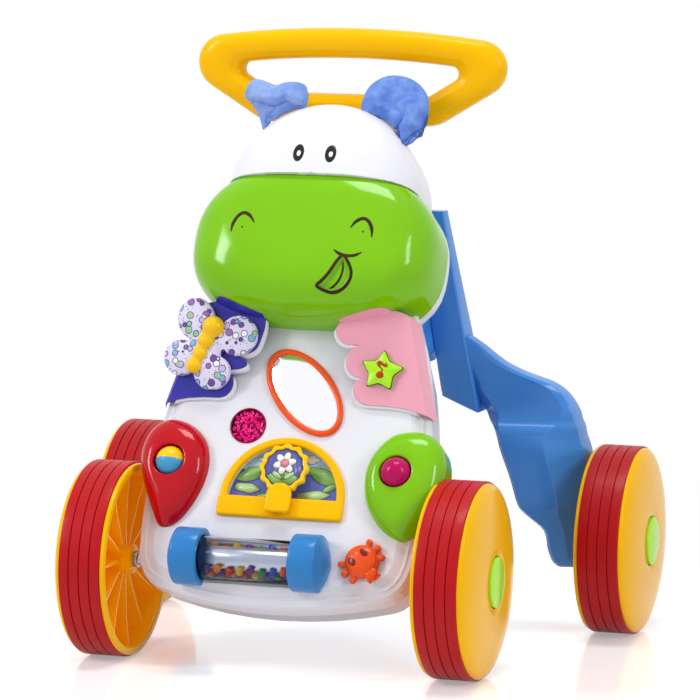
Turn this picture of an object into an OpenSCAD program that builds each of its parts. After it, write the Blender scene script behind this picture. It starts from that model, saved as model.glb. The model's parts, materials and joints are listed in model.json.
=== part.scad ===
// Push walker with an animal face: a leaning play panel on two front wheels,
// a pair of moulded side frames on two rear wheels, and a push handle.
// Millimetres. The origin lies on the floor, half way between the axles.
// The panel faces -Y. Left and right are as seen from the front (-Y) side.

/* [Overall] */
// Distance from the front axle to the rear axle
wheelbase = 225.5; // [200:0.5:275]
// Lean of the play panel away from upright, in degrees
panel_lean = 27.1; // [25:0.1:29]
// Height of the front axle above the panel's lower edge, along the panel
axle_up = 36.5; // [30:0.5:44]
// Depth of the front axle behind the face of the panel
axle_back = 34.1; // [30:0.1:38]

/* [Wheels] */
// Diameter of each wheel over its tyre
wheel_d = 140; // [116:1:168]
// Width of the tyre
tyre_w = 30.5; // [25:0.5:37]
// Thickness of the tyre at its ribs
tyre_t = 4; // [3:0.5:6]
// Wall of the wheel moulding
rim_wall = 2.5; // [2:0.1:3.2]
// Number of ribs inside a wheel
rib_count = 12; // [6:1:16]
// Diameter of the round cap on a wheel
cap_d = 36; // [30:1:42]
// Height of the wheel's outer face above the tyre's edge
face_rise = 9.5; // [8:0.5:12]
// Inner side of the front tyres, from the centre plane
front_in = 114.9; // [113:0.1:135]
// Inner side of the rear tyres, from the centre plane
rear_in = 172.1; // [170:0.1:200]
// Diameter of the steel axles
axle_d = 8; // [6.5:0.1:9.6]
// Radial clearance of a wheel on its axle
run_gap = 0.06; // [0.02:0.01:0.1]

/* [Body shells] */
// Wall of the white shells
wall = 2.5; // [2:0.1:3]
// Depth of the front shell's side wall
front_depth = 22; // [20:0.5:25]
// Depth of the back shell behind the front shell
back_depth = 32; // [29:0.5:38]
// Radius that rounds the front shell's edge, seen from the front
edge_round = 13; // [9:0.5:14]
// Gap between fixed pieces that face each other
seam = 0.3; // [0.2:0.05:0.4]

/* [Head] */
// Half width of the green muzzle
muzzle_a = 90.5; // [84:0.5:94]
// Height of the green muzzle above its widest line
muzzle_b = 64; // [62:0.5:67]
// Height of the green muzzle below its widest line
muzzle_low = 57; // [52:0.5:60]
// Height of the muzzle's centre, along the panel
muzzle_s = 261.7; // [260:0.1:264]
// Height of the muzzle's face above the panel
muzzle_h = 50.5; // [42:0.5:60]
// Half width of the white dome
dome_a = 71; // [68:0.5:74]
// Half height of the white dome
dome_b = 67; // [62:0.5:68]
// Height of the dome's face above the panel
dome_h = 51; // [43:0.5:61]
// Height of the line where green meets white, along the panel
split_s = 305; // [302:0.5:308]

/* [Handle] */
// Greatest width of the handle
handle_w = 235; // [196:1:282]
// Height of the handle from its lower bar to its upper bar
handle_rise = 48; // [44:0.5:60]
// Width of the handle's bar
bar_w = 22; // [18:0.5:24]
// Depth of the handle's bar
bar_d = 22; // [18:0.5:25]
// Arch of the upper bar
bar_arch = 6.6; // [2:0.1:8]
// Radius of the pegs that plug into the head
peg_r = 7.5; // [6:0.5:8.5]

/* [Play pieces] */
// Radius of the clear roller
roller_r = 15; // [12.5:0.5:15.5]
// Radius of the roller's end brackets
bracket_r = 20.5; // [20:0.5:24]
// Radius of the rolling ball and of the dome button
ball_r = 11; // [9.5:0.5:12]
// Travel of the dome button
dome_travel = 2.5; // [1:0.1:3]
// Travel of the star button
star_travel = 2; // [1:0.1:2.4]
// Outer radius of the star
star_r = 15.5; // [13:0.5:17]
// Radius of the half-moon window
window_r = 40.5; // [36:0.5:42]
// Half length of the oval mirror, over its ring
mirror_a = 39.4; // [34:0.1:41]
// Half width of the oval mirror, over its ring
mirror_b = 21.6; // [18:0.1:23]
// Radius of the jewel's lens
gem_r = 13; // [10.5:0.5:14]

/* [Side frames] */
// Inner side of an upright, from the centre plane
upright_in = 56; // [54:0.5:58]
// Width of an upright
upright_w = 21; // [18:0.5:25]
// Wall of the side frames
frame_wall = 3; // [2.4:0.1:3.6]
// Height of the uprights' top above the axles
upright_top = 248; // [244:0.5:250]
// Radius of the hub's round pegs
hub_peg_r = 8; // [6.5:0.5:9]

/* [Hidden] */
$fn = 48;

wheel_r = wheel_d / 2;
bore_r = axle_d / 2 + run_gap;
face_in = 11;                     // the caps of the head start this far behind the panel face
back_top = -front_depth - seam;   // height at which the back shell begins
head_back = back_top - 5.2;       // back face of the back shell behind the head
body_back = back_top - back_depth;
waist = [76, 222];                // where the body meets the muzzle
neck = 226;                       // top of the body's face, under the muzzle
axle_len = 2 * (front_in + tyre_w + 1.5);

white = [0.93, 0.93, 0.97];
green = [0.48, 0.76, 0.04];
yellow = [1, 0.74, 0.02];
blue = [0.27, 0.52, 0.86];
red = [0.78, 0.08, 0.1];
steel = [0.7, 0.72, 0.75];

// ---------- points and lofts ----------

// A point on a Bezier curve with four control points
function bez(a, b, c, d, t) = let (u = 1 - t)
  u*u*u * a + 3*u*u*t * b + 3*u*t*t * c + t*t*t * d;
// n points of that curve, its end left out
function bez_run(a, b, c, d, n) = [for (i = [0:n - 1]) bez(a, b, c, d, i / n)];
// n points of an arc, its end left out
function arc_run(c, r, a0, a1, n) =
  [for (i = [0:n - 1]) let (a = a0 + (a1 - a0) * i / n) c + r * [cos(a), sin(a)]];
// A right half that runs from the bottom to the top, closed with its mirror image
function closed(half) = concat(half,
  [for (i = [len(half) - 1:-1:0]) if (half[i][0] > 0.01) [-half[i][0], half[i][1]]]);
// The outline moved inwards by d; a negative d grows it
function inset(p, d) = [for (i = [0:len(p) - 1])
  let (n = len(p), u = p[i] - p[(i + n - 1) % n], v = p[(i + 1) % n] - p[i],
    m = [-u[1], u[0]] / norm(u), k = [-v[1], v[0]] / norm(v))
  p[i] + d * (m + k) / (1 + m * k)];
function ring(p, h) = [for (q = p) [q[0], q[1], h]];
// Half width of the muzzle's outline at the height s
function muzzle_x(s) = let (up = s > muzzle_s, b = up ? muzzle_b : muzzle_low, p = up ? 2.27 : 2.7)
  (muzzle_a - 0.5) * pow(max(0, 1 - pow(abs(s - muzzle_s) / b, p)), 1 / p);
// The muzzle's outline, r times its full size and then moved in by g; its top is cut at the line t
function muzzle_ring(r, g, t) = [for (i = [0:43]) let (a = i * 360 / 44, up = a < 180,
    b = up ? muzzle_b : muzzle_low, p = up ? 2.27 : 2.7)
  [(muzzle_a * r - g) * spow(cos(a), 2 / p), min(t, muzzle_s + (b * r - g) * spow(sin(a), 2 / p))]];
// A value signed and raised to a power
function spow(v, e) = sign(v) * pow(abs(v), e);

// A closed solid through rings of points; each ring runs anticlockwise and the next lies above
module loft(rings) {
  n = len(rings[0]);
  m = len(rings);
  polyhedron(
    points = [for (r = rings) for (q = r) q],
    faces = concat(
      [[for (i = [0:n - 1]) i]],
      [[for (i = [n - 1:-1:0]) (m - 1) * n + i]],
      [for (k = [0:m - 2]) for (i = [0:n - 1]) let (j = (i + 1) % n)
        each [[k*n + i, (k+1)*n + i, k*n + j], [k*n + j, (k+1)*n + i, (k+1)*n + j]]]));
}

// A closed loop of bar through rings; the last ring joins the first. Each ring runs anticlockwise
// when seen from the ring after it.
module loop_bar(rings) {
  n = len(rings[0]);
  m = len(rings);
  polyhedron(
    points = [for (r = rings) for (q = r) q],
    faces = [for (k = [0:m - 1]) for (i = [0:n - 1]) let (j = (i + 1) % n, l = (k + 1) % m)
      each [[k*n + i, l*n + i, k*n + j], [k*n + j, l*n + i, l*n + j]]]);
}

// ---------- places ----------

// Puts its children in the panel's frame: x across, y up the slope, z out of the face
module on_panel() {
  translate([0, -wheelbase / 2, wheel_r])
    rotate([90 - panel_lean, 0, 0]) translate([0, -axle_up, axle_back]) children();
}

// Puts its children at the height of the axles, with y = 0 at the front axle
module from_front_axle() {
  translate([0, -wheelbase / 2, wheel_r]) children();
}

// A cylinder along x from x0 to x1
module rod_x(x0, x1, r) {
  translate([x0, 0, 0]) rotate([0, 90, 0]) cylinder(r = r, h = x1 - x0);
}

// ---------- outlines of the body, in the panel's plane ----------

lower_r = 313;
lower_x = 82;
lower_a = asin(lower_x / lower_r);
lower_end = [lower_x, -2 + lower_r - lower_r * cos(lower_a)];
side_start = [101.5, 34];
side_half = concat(
  arc_run([0, lower_r - 2], lower_r, -90, -90 + lower_a, 4),
  bez_run(lower_end, lower_end + [10, 3], side_start - [2, 14], side_start, 4),
  bez_run(side_start, [108, 95], [103, 155], waist, 9));
muzzle_half = [for (i = [0:9]) let (s = waist[1] + (split_s + 1 - waist[1]) * i / 9)
  [muzzle_x(s), s]];
dome_s = split_s + dome_b - dome_a;  // the dome's outline is an arc about this height
dome_half = [for (i = [0:9]) let (a = 7 + 83 * i / 9)
  [dome_a * cos(a) * (i < 9 ? 1 : 0), dome_s + dome_a * sin(a)]];
whole = closed(concat(side_half, muzzle_half, dome_half));
body = closed(concat([for (i = [0:len(side_half) - 2]) side_half[i]],
  [[waist[0] - 0.6, neck], [0, neck]]));
// The deep part of the back, which runs up a little behind the head
deep = closed(concat([for (i = [0:len(side_half) - 2]) side_half[i]], [[71, neck + 8], [0, neck + 8]]));
head = closed(concat([[0, waist[1] + 1], [waist[0] - 3, waist[1] + 1]],
  [for (i = [1:9]) muzzle_half[i]], dome_half));

// The body's solid, grown by g on its sides and face
module body_solid(g, bottom) {
  loft([ring(inset(body, -g), bottom),
    ring(inset(body, -g), -9),
    ring(inset(body, 0.1 * edge_round - g), -5.5 + g * 0.5),
    ring(inset(body, 0.32 * edge_round - g * 0.8), -2.4 + g * 0.8),
    ring(inset(body, 0.62 * edge_round - g * 0.4), -0.7 + g),
    ring(inset(body, edge_round), g)]);
}

// Places on the panel
mirror_at = [4.8, 157];
mirror_turn = 133;
gem_at = [-33.3, 130.1];
window_at = [0.6, 76];
medal_pivot = [0.6, 71];
medal_at = [0.6, 98];
star_at = [63.6, 173.4];
pod_at = [82.5, 94];
ball_at = [84, 98];
ball_h = 6;
beetle_at = [67, 33.5];
roller_s = 28.5;
roller_h = 7;
bracket_left = [-72.5, -47.5];
bracket_right = [20, 46.5];
trough_r = roller_r + 1.4;
trough_x = bracket_left[1] - 4.6;
trough_l = bracket_right[0] + 4.6 - trough_x;
handle_h = -13.6;
handle_low = 384.2;
peg_x = 30;
peg_end = 340;

// ---------- shells ----------

module handle_sockets(g) {
  for (side = [-1, 1])
    translate([side * peg_x, peg_end - 1, handle_h]) rotate([-90, 0, 0])
      cylinder(r = peg_r + g, h = 60);
}

module axle_hole(g) {
  translate([0, axle_up, -axle_back]) rod_x(-130, 130, axle_d / 2 + g);
}

module front_shell() color(white) on_panel() {
  difference() {
    union() {
      difference() {
        body_solid(0, -face_in);
        loft([ring(inset(body, wall), -face_in - 1), ring(inset(body, wall), -8),
          ring(inset(body, wall + 2.5), -wall - 1), ring(inset(body, edge_round), -wall)]);
        // openings in the face
        for (side = [-1, 1])
          translate([side * ball_at[0], ball_at[1], -5]) cylinder(r = ball_r + 1.2, h = 10);
        translate([gem_at[0], gem_at[1], -5]) cylinder(r = gem_r + seam, h = 10);
        translate([beetle_at[0], beetle_at[1], -5]) cylinder(r = 4.5, h = 10);
        translate([window_at[0], window_at[1], -5]) intersection() {
          cylinder(r = window_r, h = 10);
          translate([-window_r, 0, 0]) cube([2 * window_r, window_r, 10]);
        }
        translate([trough_x, roller_s - trough_r, -5]) cube([trough_l, 2 * trough_r, 10]);
      }
      // side wall below the rounded edge, and the ledge that carries the head's caps
      translate([0, 0, -front_depth]) linear_extrude(front_depth - face_in) difference() {
        polygon(whole);
        polygon(inset(whole, wall));
      }
      translate([0, 0, -face_in - wall]) linear_extrude(wall) difference() {
        polygon(head);
        polygon(inset(head, 10));
      }
      // trough behind the roller
      translate([trough_x - 1, roller_s, roller_h]) rotate([90, 0, 90])
        linear_extrude(trough_l + 2) difference() {
          circle(r = trough_r + wall);
          circle(r = trough_r);
          translate([-30, -roller_h - wall / 2]) square([60, 60]);
        }
      for (x = [trough_x - 1, trough_x + trough_l - 1]) translate([x, roller_s, roller_h])
        rotate([90, 0, 90]) linear_extrude(2) intersection() {
          circle(r = trough_r + wall);
          translate([-30, -60 - roller_h - wall / 2]) square([60, 60]);
        }
      // cup that carries the spring of the round button
      translate([ball_at[0], ball_at[1], -18]) difference() {
        cylinder(r = ball_r + 3, h = 17);
        translate([0, 0, 1.5]) cylinder(r = ball_r + 1.2, h = 20);
      }
      // bosses that carry the circuit board
      for (x = [-24, 24], s = [146, 190])
        translate([x, s, -26]) difference() {
          cylinder(r = 3, h = 24.5);
          translate([0, 0, -1]) cylinder(r = 1.2, h = 12);
        }
    }
    handle_sockets(0.2);
  }
}

// Height of a cap's skin: r = 0 at its middle and 1 at its rim
function swell(r, low, high, p) = low + (high - low) * pow(1 - pow(r, p), 1 / p);

module dome_solid(r, h0, h1, low) translate([0, dome_s, 0]) rotate([0, 0, 0])
  rotate_extrude() polygon(concat([[0, low], [r, low], [r, h0]],
    [for (q = [0.985, 0.94, 0.86, 0.75, 0.6, 0.42, 0.22]) [r * q, swell(q, h0, h1, 2.6)]], [[0, h1]]));

module head_dome() color(white) on_panel() {
  difference() {
    intersection() {
      dome_solid(dome_a, 10, dome_h, -face_in + seam);
      translate([-100, split_s + seam, -20]) cube([200, 100, 100]);
    }
    intersection() {
      dome_solid(dome_a - wall, 10 - wall * 0.4, dome_h - wall, -face_in - 1);
      translate([-100, split_s + seam + wall, -20]) cube([200, 100, 100]);
    }
    handle_sockets(0.2);
  }
}

module muzzle() color(green) on_panel() {
  difference() {
    loft(concat(
      [for (r = [0.15, 0.5, 0.72, 0.86])
        ring(muzzle_ring(r, 0, split_s - wall), swell(r, -face_in, muzzle_h, 4) - wall)],
      [ring(muzzle_ring(0.975, wall, split_s - wall), 18),
        ring(muzzle_ring(1, wall, split_s - wall), -face_in + seam),
        ring(muzzle_ring(1, 0, split_s), -face_in + seam)],
      [for (r = [0.995, 0.975, 0.94, 0.88, 0.79, 0.66, 0.5, 0.32, 0.15])
        ring(muzzle_ring(r, 0, split_s), swell(r, -face_in, muzzle_h, 4))]));
    // room for the body's face and the sleeves, which run up behind the muzzle
    translate([-79, 180, -face_in - 1]) cube([158, neck + seam - 180, face_in + 1 + seam]);
    for (side = [-1, 1]) sleeve_prism(side, seam);
  }
}

module back_shell() color(white) on_panel() {
  difference() {
    union() {
      difference() {
        translate([0, 0, head_back]) linear_extrude(back_top - head_back) polygon(inset(whole, 1.5));
        translate([0, 0, head_back + wall]) linear_extrude(10) polygon(inset(whole, 1.5 + wall));
      }
      loft([ring(inset(deep, 16), body_back), ring(inset(deep, 9), body_back + 1.6),
        ring(inset(deep, 4.5), body_back + 5), ring(inset(deep, 3), body_back + 10),
        ring(inset(deep, 3), head_back + 3.4)]);
    }
    // inside of the deep part
    loft([ring(inset(deep, 14), body_back + wall), ring(inset(deep, 3 + wall), body_back + 10),
      ring(inset(deep, 3 + wall), back_top + 5)]);
    // battery door, speaker grille, axle, handle pegs and screws
    translate([0, battery_s, body_back - 1]) linear_extrude(wall + 2)
      square([door_w + 2 * seam, door_l + 2 * seam], center = true);
    for (i = [-2:2], j = [-2:2]) if (i * i + j * j < 6)
      translate([speaker_at[0] + 6 * i, speaker_at[1] + 6 * j, body_back - 1])
        cylinder(r = 1.5, h = wall + 2, $fn = 16);
    axle_hole(0.1);
    handle_sockets(0.2);
    for (p = screw_spots) translate([p[0], p[1], body_back - 1]) cylinder(r = 1.8, h = 8);
  }
  // saddles that hold the axle
  for (x = [-70, 0, 70]) difference() {
    translate([x - 1.5, axle_up - 14, body_back + wall]) cube([3, 28, -body_back - axle_back - wall + 9]);
    axle_hole(0.1);
  }
}

battery_s = 98;
door_w = 60;
door_l = 66;
speaker_at = [0, 160];
screw_spots = [[-78, 24], [78, 24], [-84, 92], [84, 92], [-76, 160], [76, 160], [-47.5, 204], [47.5, 204]];

module shell_screws() color(steel) on_panel() {
  for (p = screw_spots) translate([p[0], p[1], 0]) {
    translate([0, 0, body_back - 1.9]) cylinder(r = 3.2, h = 1.9);
    translate([0, 0, body_back]) cylinder(r = 1.7, h = 24);
  }
}

// ---------- inside the body ----------

cell_r = 7.1;
cell_l = 50.5;

module battery_box() color([0.2, 0.2, 0.22]) on_panel() {
  depth = 19;
  translate([0, battery_s, body_back + wall + seam]) difference() {
    translate([-26.5, -30, 0]) cube([53, 60, depth]);
    translate([-24.5, -28, -1]) cube([49, 56, depth - 1]);
  }
}

module batteries() color([0.75, 0.6, 0.2]) on_panel() {
  for (i = [-1:1])
    translate([i * 15.2, battery_s - cell_l / 2, body_back + wall + 9.5]) rotate([-90, 0, 0]) {
      cylinder(r = cell_r, h = cell_l - 1);
      cylinder(r = 2.7, h = cell_l);
    }
}

module battery_door() color(white) on_panel() {
  translate([0, battery_s, body_back]) {
    linear_extrude(wall) square([door_w, door_l], center = true);
    for (i = [-3:3]) translate([i * 5 - 0.75, door_l / 2 - 12, -0.8]) cube([1.5, 8, 1.2]);
    translate([0, -door_l / 2 + 7, -1.2]) cylinder(r = 3.5, h = 1.2);
  }
}

module circuit_board() color([0.1, 0.45, 0.2]) on_panel() {
  translate([-30, 140, -26 - 1.6 - seam]) difference() {
    cube([60, 56, 1.6]);
    for (x = [6, 54], s = [6, 50]) translate([x, s, -1]) cylinder(r = 1.4, h = 4);
  }
  translate([-8, 156, -26 - 1.6 - seam - 2.5]) cube([16, 14, 2.5]);
}

module speaker() color([0.25, 0.25, 0.27]) on_panel() {
  translate([speaker_at[0], speaker_at[1], body_back + wall + seam]) {
    rotate_extrude() polygon([[0, 3], [8, 3.5], [18, 0.5], [20, 0], [20, 3], [11, 9], [11, 12], [0, 12]]);
  }
}

module coil(r, wire, turns, h) {
  steps = 9;
  sides = 6;
  n = turns * steps;
  loft([for (k = [0:n]) let (a = 360 * k / steps, z = h * k / n)
    [for (i = [0:sides - 1]) let (b = -360 * i / sides)
      [(r + wire * cos(b)) * cos(a), (r + wire * cos(b)) * sin(a), z + wire * sin(b)]]]);
}

module button_springs() color(steel) {
  on_panel() translate([ball_at[0], ball_at[1], -15.8]) coil(5, 0.5, 4, 10.8);
  at_star() translate([0, 0, -6.3]) coil(4, 0.4, 2, 2.2);
}

// ---------- clothes on the body ----------

function scallop(a, b, out) = let (d = b - a, n = [d[1], -d[0]] / norm(d))
  [for (t = [0:0.2:0.8]) a + d * t + n * out * sin(180 * t)];
sleeve_edge = [[38, 219], [36.5, 191.6], [43, 167.6], [54, 147.8]];
sleeve_line = concat(scallop(sleeve_edge[0], sleeve_edge[1], 13),
  scallop(sleeve_edge[1], sleeve_edge[2], 6.5), scallop(sleeve_edge[2], sleeve_edge[3], 6),
  [[54, 147.8], [98, 146.5], [125, 144], [125, 216], [76, 217]]);
left_sleeve_shift = 8;              // the left sleeve stands this much further out
sleeve_rise = 3.5;                  // height of a sleeve at its cuff
sleeve_slope = 12;                  // degrees by which it rises towards the shoulder

// A sleeve's block: its scalloped outline, under a plane that rises to the shoulder
module sleeve_prism(side, g) {
  intersection() {
    translate([side < 0 ? -left_sleeve_shift : 0, 0, -face_in + 1]) mirror([side < 0 ? 1 : 0, 0, 0])
      linear_extrude(60) polygon(inset(sleeve_line, -g));
    translate([0, 147, sleeve_rise + g]) rotate([sleeve_slope, 0, 0])
      translate([-150, -40, -80]) cube([300, 150, 80]);
  }
}
module sleeve_block(side) {
  intersection() {
    sleeve_prism(side, 0);
    loft([ring(inset(body, -2.5), -face_in), ring(inset(body, -2.5), -4),
      ring(inset(body, -1.8), 2), ring(inset(body, 1.5), 9), ring(inset(body, 6), 15),
      ring(inset(body, 13), 23)]);
  }
}
// Height of a sleeve's top at the place s
function sleeve_h(s) = sleeve_rise + (s - 147) * tan(sleeve_slope);

module sleeve(side) on_panel() {
  difference() {
    sleeve_block(side);
    body_solid(0.15, -face_in - 1);
    if (side > 0) star_place() translate([0, 0, -6.8]) cylinder(r = 6.2, h = 40);
  }
}
module left_sleeve() color([0.24, 0.24, 0.72]) sleeve(-1);
module right_sleeve() color([0.96, 0.68, 0.76]) sleeve(1);

// ---------- pods with the rolling ball and the dome button ----------

pod_half_w = 27.5;
pod_up = 38;
pod_down = 43;
function pod_outline(g) = [for (i = [0:31]) let (a = i * 11.25, up = sin(a) > 0 ? pod_up : pod_down)
  pod_at + [(pod_half_w - g) * cos(a) * (1 - 0.16 * sin(a) * (sin(a) < 0 ? -1 : 0.3)),
    (up - g) * sin(a)]];

module pod(side) on_panel() {
  mirror([side < 0 ? 1 : 0, 0, 0]) difference() {
    loft([ring(pod_outline(3), -18), ring(pod_outline(0), -10), ring(pod_outline(0), 3),
      ring(pod_outline(1.2), 6.5), ring(pod_outline(4), 9.5), ring(pod_outline(9), 11.6),
      ring(pod_outline(14), 12.4)]);
    body_solid(0.15, -face_in - 1);
    translate([0, 0, -front_depth - 1]) linear_extrude(front_depth) polygon(inset(whole, -0.15));
    translate([ball_at[0], ball_at[1], -3]) cylinder(r = ball_r + 0.5, h = 30);
    if (side < 0) translate([ball_at[0], ball_at[1], ball_h])
      rod_x(-ball_r - 3, ball_r + 3, 1.6);
  }
}
module left_pod() color(red) pod(-1);
module right_pod() color(green) pod(1);

module spin_ball_half(up) on_panel() {
  translate([-ball_at[0], ball_at[1], ball_h]) difference() {
    intersection() {
      sphere(r = ball_r);
      translate([-20, up ? 0 : -20, -20]) cube([40, 20, 40]);
    }
    rod_x(-20, 20, 1.5 + run_gap);
  }
}
module spin_ball_top() color([1, 0.85, 0.1]) spin_ball_half(true);
module spin_ball_bottom() color([0.2, 0.6, 0.9]) spin_ball_half(false);
module spin_ball_pin() color(steel) on_panel() {
  translate([-ball_at[0], ball_at[1], ball_h]) rod_x(-ball_r - 2.6, ball_r + 2.6, 1.5);
}

module push_dome() color([0.78, 0.05, 0.45]) on_panel() {
  translate([ball_at[0], ball_at[1], 0]) {
    intersection() {
      translate([0, 0, 9]) sphere(r = ball_r);
      translate([-20, -20, 9]) cube([40, 40, 20]);
    }
    cylinder(r = ball_r, h = 9);
    translate([0, 0, -5]) cylinder(r = 3.5, h = 5);
  }
}

// ---------- mirror, jewel and window ----------

module oval(a, b, h) {
  linear_extrude(h) scale([1, b / a]) circle(r = a);
}

module mirror_ring() color([1, 0.42, 0.08]) on_panel() {
  translate([mirror_at[0], mirror_at[1], seam / 2]) rotate([0, 0, mirror_turn]) difference() {
    union() {
      oval(mirror_a, mirror_b, 1.6);
      translate([0, 0, 1.6]) oval(mirror_a - 0.9, mirror_b - 0.9, 1);
    }
    translate([0, 0, -1]) oval(mirror_a - 4.5, mirror_b - 4.1, 9);
  }
}

module mirror_glass() color([0.85, 0.88, 0.9]) on_panel() {
  translate([mirror_at[0], mirror_at[1], seam / 2]) rotate([0, 0, mirror_turn])
    oval(mirror_a - 4.5 - seam / 2, mirror_b - 4.1 - seam / 2, 1.1);
}

module gem_lens() color([0.93, 0.35, 0.6, 0.7]) on_panel() {
  translate([gem_at[0], gem_at[1], -wall]) difference() {
    union() {
      cylinder(r = gem_r, h = wall + 0.6);
      translate([0, 0, -1.2]) cylinder(r = gem_r + 1.5, h = 1.2);
      intersection() {
        translate([0, 0, wall + 0.6]) scale([1, 1, 0.25]) sphere(r = gem_r - 0.6);
        translate([-20, -20, wall + 0.6]) cube([40, 40, 10]);
      }
    }
    translate([0, 0, -2]) cylinder(r = gem_r - 1.6, h = 2 + wall - 0.6);
  }
}

module gem_crystals() color([0.9, 0.05, 0.5]) on_panel() {
  translate([gem_at[0], gem_at[1], -wall - 1.2]) {
    translate([0, 0, -1.2]) cylinder(r = gem_r + 1.5, h = 1.2);
    for (k = [0:2], i = [0:max(0, k * 6 - 1)]) let (a = i * 60 / max(1, k))
      translate([k * 4.6 * cos(a), k * 4.6 * sin(a), 0])
        cylinder(r1 = 2.1, r2 = 0.6, h = 2.4, $fn = 6);
  }
}

module window_frame() color(yellow) on_panel() {
  translate([window_at[0], window_at[1], seam / 2]) {
    difference() {
      intersection() {
        union() {
          cylinder(r = window_r + 6, h = 2);
          translate([0, 0, 2]) cylinder(r1 = window_r + 6, r2 = window_r + 4.8, h = 1.2);
        }
        translate([-60, -1, -1]) cube([120, 60, 9]);
      }
      translate([0, 0, -1]) cylinder(r = window_r, h = 9);
    }
    // base bar with its round boss for the pivot
    difference() {
      union() {
        translate([-window_r - 0.5, -14, 0]) cube([2 * window_r + 1, 15, 3.2]);
        translate([-window_r - 4.5, -10, 0]) cube([2 * window_r + 9, 11, 3.2]);
        for (x = [-1, 1]) translate([x * (window_r + 0.5), -10, 0]) cylinder(r = 4, h = 3.2);
      }
      translate([0, medal_pivot[1] - window_at[1], -1]) cylinder(r = 2.5, h = 9);
    }
  }
}

module window_card() color([0.3, 0.35, 0.75]) on_panel() {
  translate([window_at[0], window_at[1], -wall - 1.1]) intersection() {
    cylinder(r = window_r + 3.5, h = 1);
    translate([-60, -3, -1]) cube([120, 60, 9]);
  }
}

medal_lift = 3.9;
module medallion() color([1, 0.85, 0.2]) on_panel() {
  translate([medal_at[0], medal_at[1], medal_lift]) difference() {
    union() {
      cylinder(r = 16.6, h = 3);
      for (a = [0:30:330]) rotate(a) translate([15.5, 0, 0]) cylinder(r = 3.6, h = 3);
      translate([-4, medal_pivot[1] - medal_at[1], 0]) cube([8, medal_at[1] - medal_pivot[1], 3]);
      translate([0, medal_pivot[1] - medal_at[1], 0]) cylinder(r = 6, h = 3);
    }
    translate([0, 0, 2]) cylinder(r = 14, h = 5);
    translate([0, medal_pivot[1] - medal_at[1], -1]) cylinder(r = 2.5 + run_gap, h = 9);
  }
}

module medallion_pin() color(yellow) on_panel() {
  translate([medal_pivot[0], medal_pivot[1], 0]) {
    translate([0, 0, 0.5]) cylinder(r = 2.5 - 0.01, h = medal_lift + 3);
    translate([0, 0, medal_lift + 3 + seam]) intersection() {
      scale([1, 1, 0.35]) sphere(r = 7.5);
      translate([-10, -10, 0]) cube([20, 20, 10]);
    }
    translate([0, 0, medal_lift + 2]) cylinder(r = 2.4, h = 2);
  }
}

// ---------- roller ----------

module bracket(x0, x1, outer) color(blue) on_panel() {
  w = x1 - x0;
  translate([outer > 0 ? x0 : x1, roller_s, roller_h]) mirror([outer > 0 ? 0 : 1, 0, 0])
    difference() {
      rotate([0, 90, 0]) rotate_extrude() polygon(concat([[0, 0], [bracket_r - 1, 0], [bracket_r, 1]],
        [for (a = [0:15:75]) [bracket_r - 11 + 11 * cos(a), w - 11 + 11 * sin(a)]],
        [[bracket_r - 11, w], [0, w]]));
      translate([-1, -40, -40 - roller_h + 0.15]) cube([60, 80, 40]);
      rod_x(-1, w - 8, 2);
      rod_x(-1, 3.4, roller_r + 0.6);
    }
}
module roller_bracket_left() bracket(bracket_left[0], bracket_left[1], -1);
module roller_bracket_right() bracket(bracket_right[0], bracket_right[1], 1);

roller_x0 = bracket_left[1] - 3;
roller_x1 = bracket_right[0] + 3;
module roller_shaft() color(steel) on_panel() {
  translate([0, roller_s, roller_h]) rod_x(roller_x0 - 12, roller_x1 + 12, 1.98);
}
module roller_tube() color([0.85, 0.92, 0.97, 0.5]) on_panel() {
  translate([0, roller_s, roller_h]) difference() {
    rod_x(roller_x0, roller_x1, roller_r);
    rod_x(roller_x0 + 1.8, roller_x1 - 1.8, roller_r - 1.5);
    rod_x(roller_x0 - 1, roller_x1 + 1, 2 + run_gap);
  }
}
module roller_core() color([0.75, 0.76, 0.8]) on_panel() {
  translate([0, roller_s, roller_h]) difference() {
    rod_x(roller_x0 + 2, roller_x1 - 2, 6.5);
    rod_x(roller_x0 - 1, roller_x1 + 1, 2 + run_gap);
  }
}
module roller_beads() color([0.95, 0.5, 0.15]) on_panel() {
  pitch = (roller_x1 - roller_x0 - 8) / 9;
  translate([0, roller_s, roller_h]) for (i = [0:8], k = [0:3])
    translate([roller_x0 + 4 + pitch * (i + 0.5), 0, 0]) rotate([k * 90 + i * 40, 0, 0])
      translate([0, 9.98, 0]) sphere(r = 3.4, $fn = 24);
}

// ---------- star and beetle ----------

function star(r, q) = [for (i = [0:9]) let (a = 90 + 36 * i) (i % 2 == 0 ? r : q) * [cos(a), sin(a)]];
star_turn = -4;
// Places the star on the sloping sleeve, with z = 0 at the sleeve's skin
module star_place() translate([star_at[0], star_at[1], sleeve_h(star_at[1])])
  rotate([sleeve_slope, 0, 0]) rotate(star_turn) children();
module at_star() on_panel() star_place() children();
module star_button() color([0.7, 0.95, 0.15]) {
  at_star() {
    translate([0, 0, star_travel + 0.5]) linear_extrude(2.4) polygon(star(star_r, star_r * 0.52));
    translate([0, 0, star_travel + 2.9]) linear_extrude(1) polygon(star(star_r - 1.6, star_r * 0.52 - 1));
    translate([0, 0, -1.4]) cylinder(r = 5.4, h = star_travel + 2.2);
  }
}
module star_note() color([1, 0.5, 0.1]) at_star() translate([0, 0, star_travel + 3.9]) {
  translate([-2, -3.4, 0]) cylinder(r = 2, h = 0.8);
  translate([-0.9, -3.4, 0]) cube([1, 8, 0.8]);
  translate([-0.9, 3.2, 0]) cube([4.4, 1.6, 0.8]);
}

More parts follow.
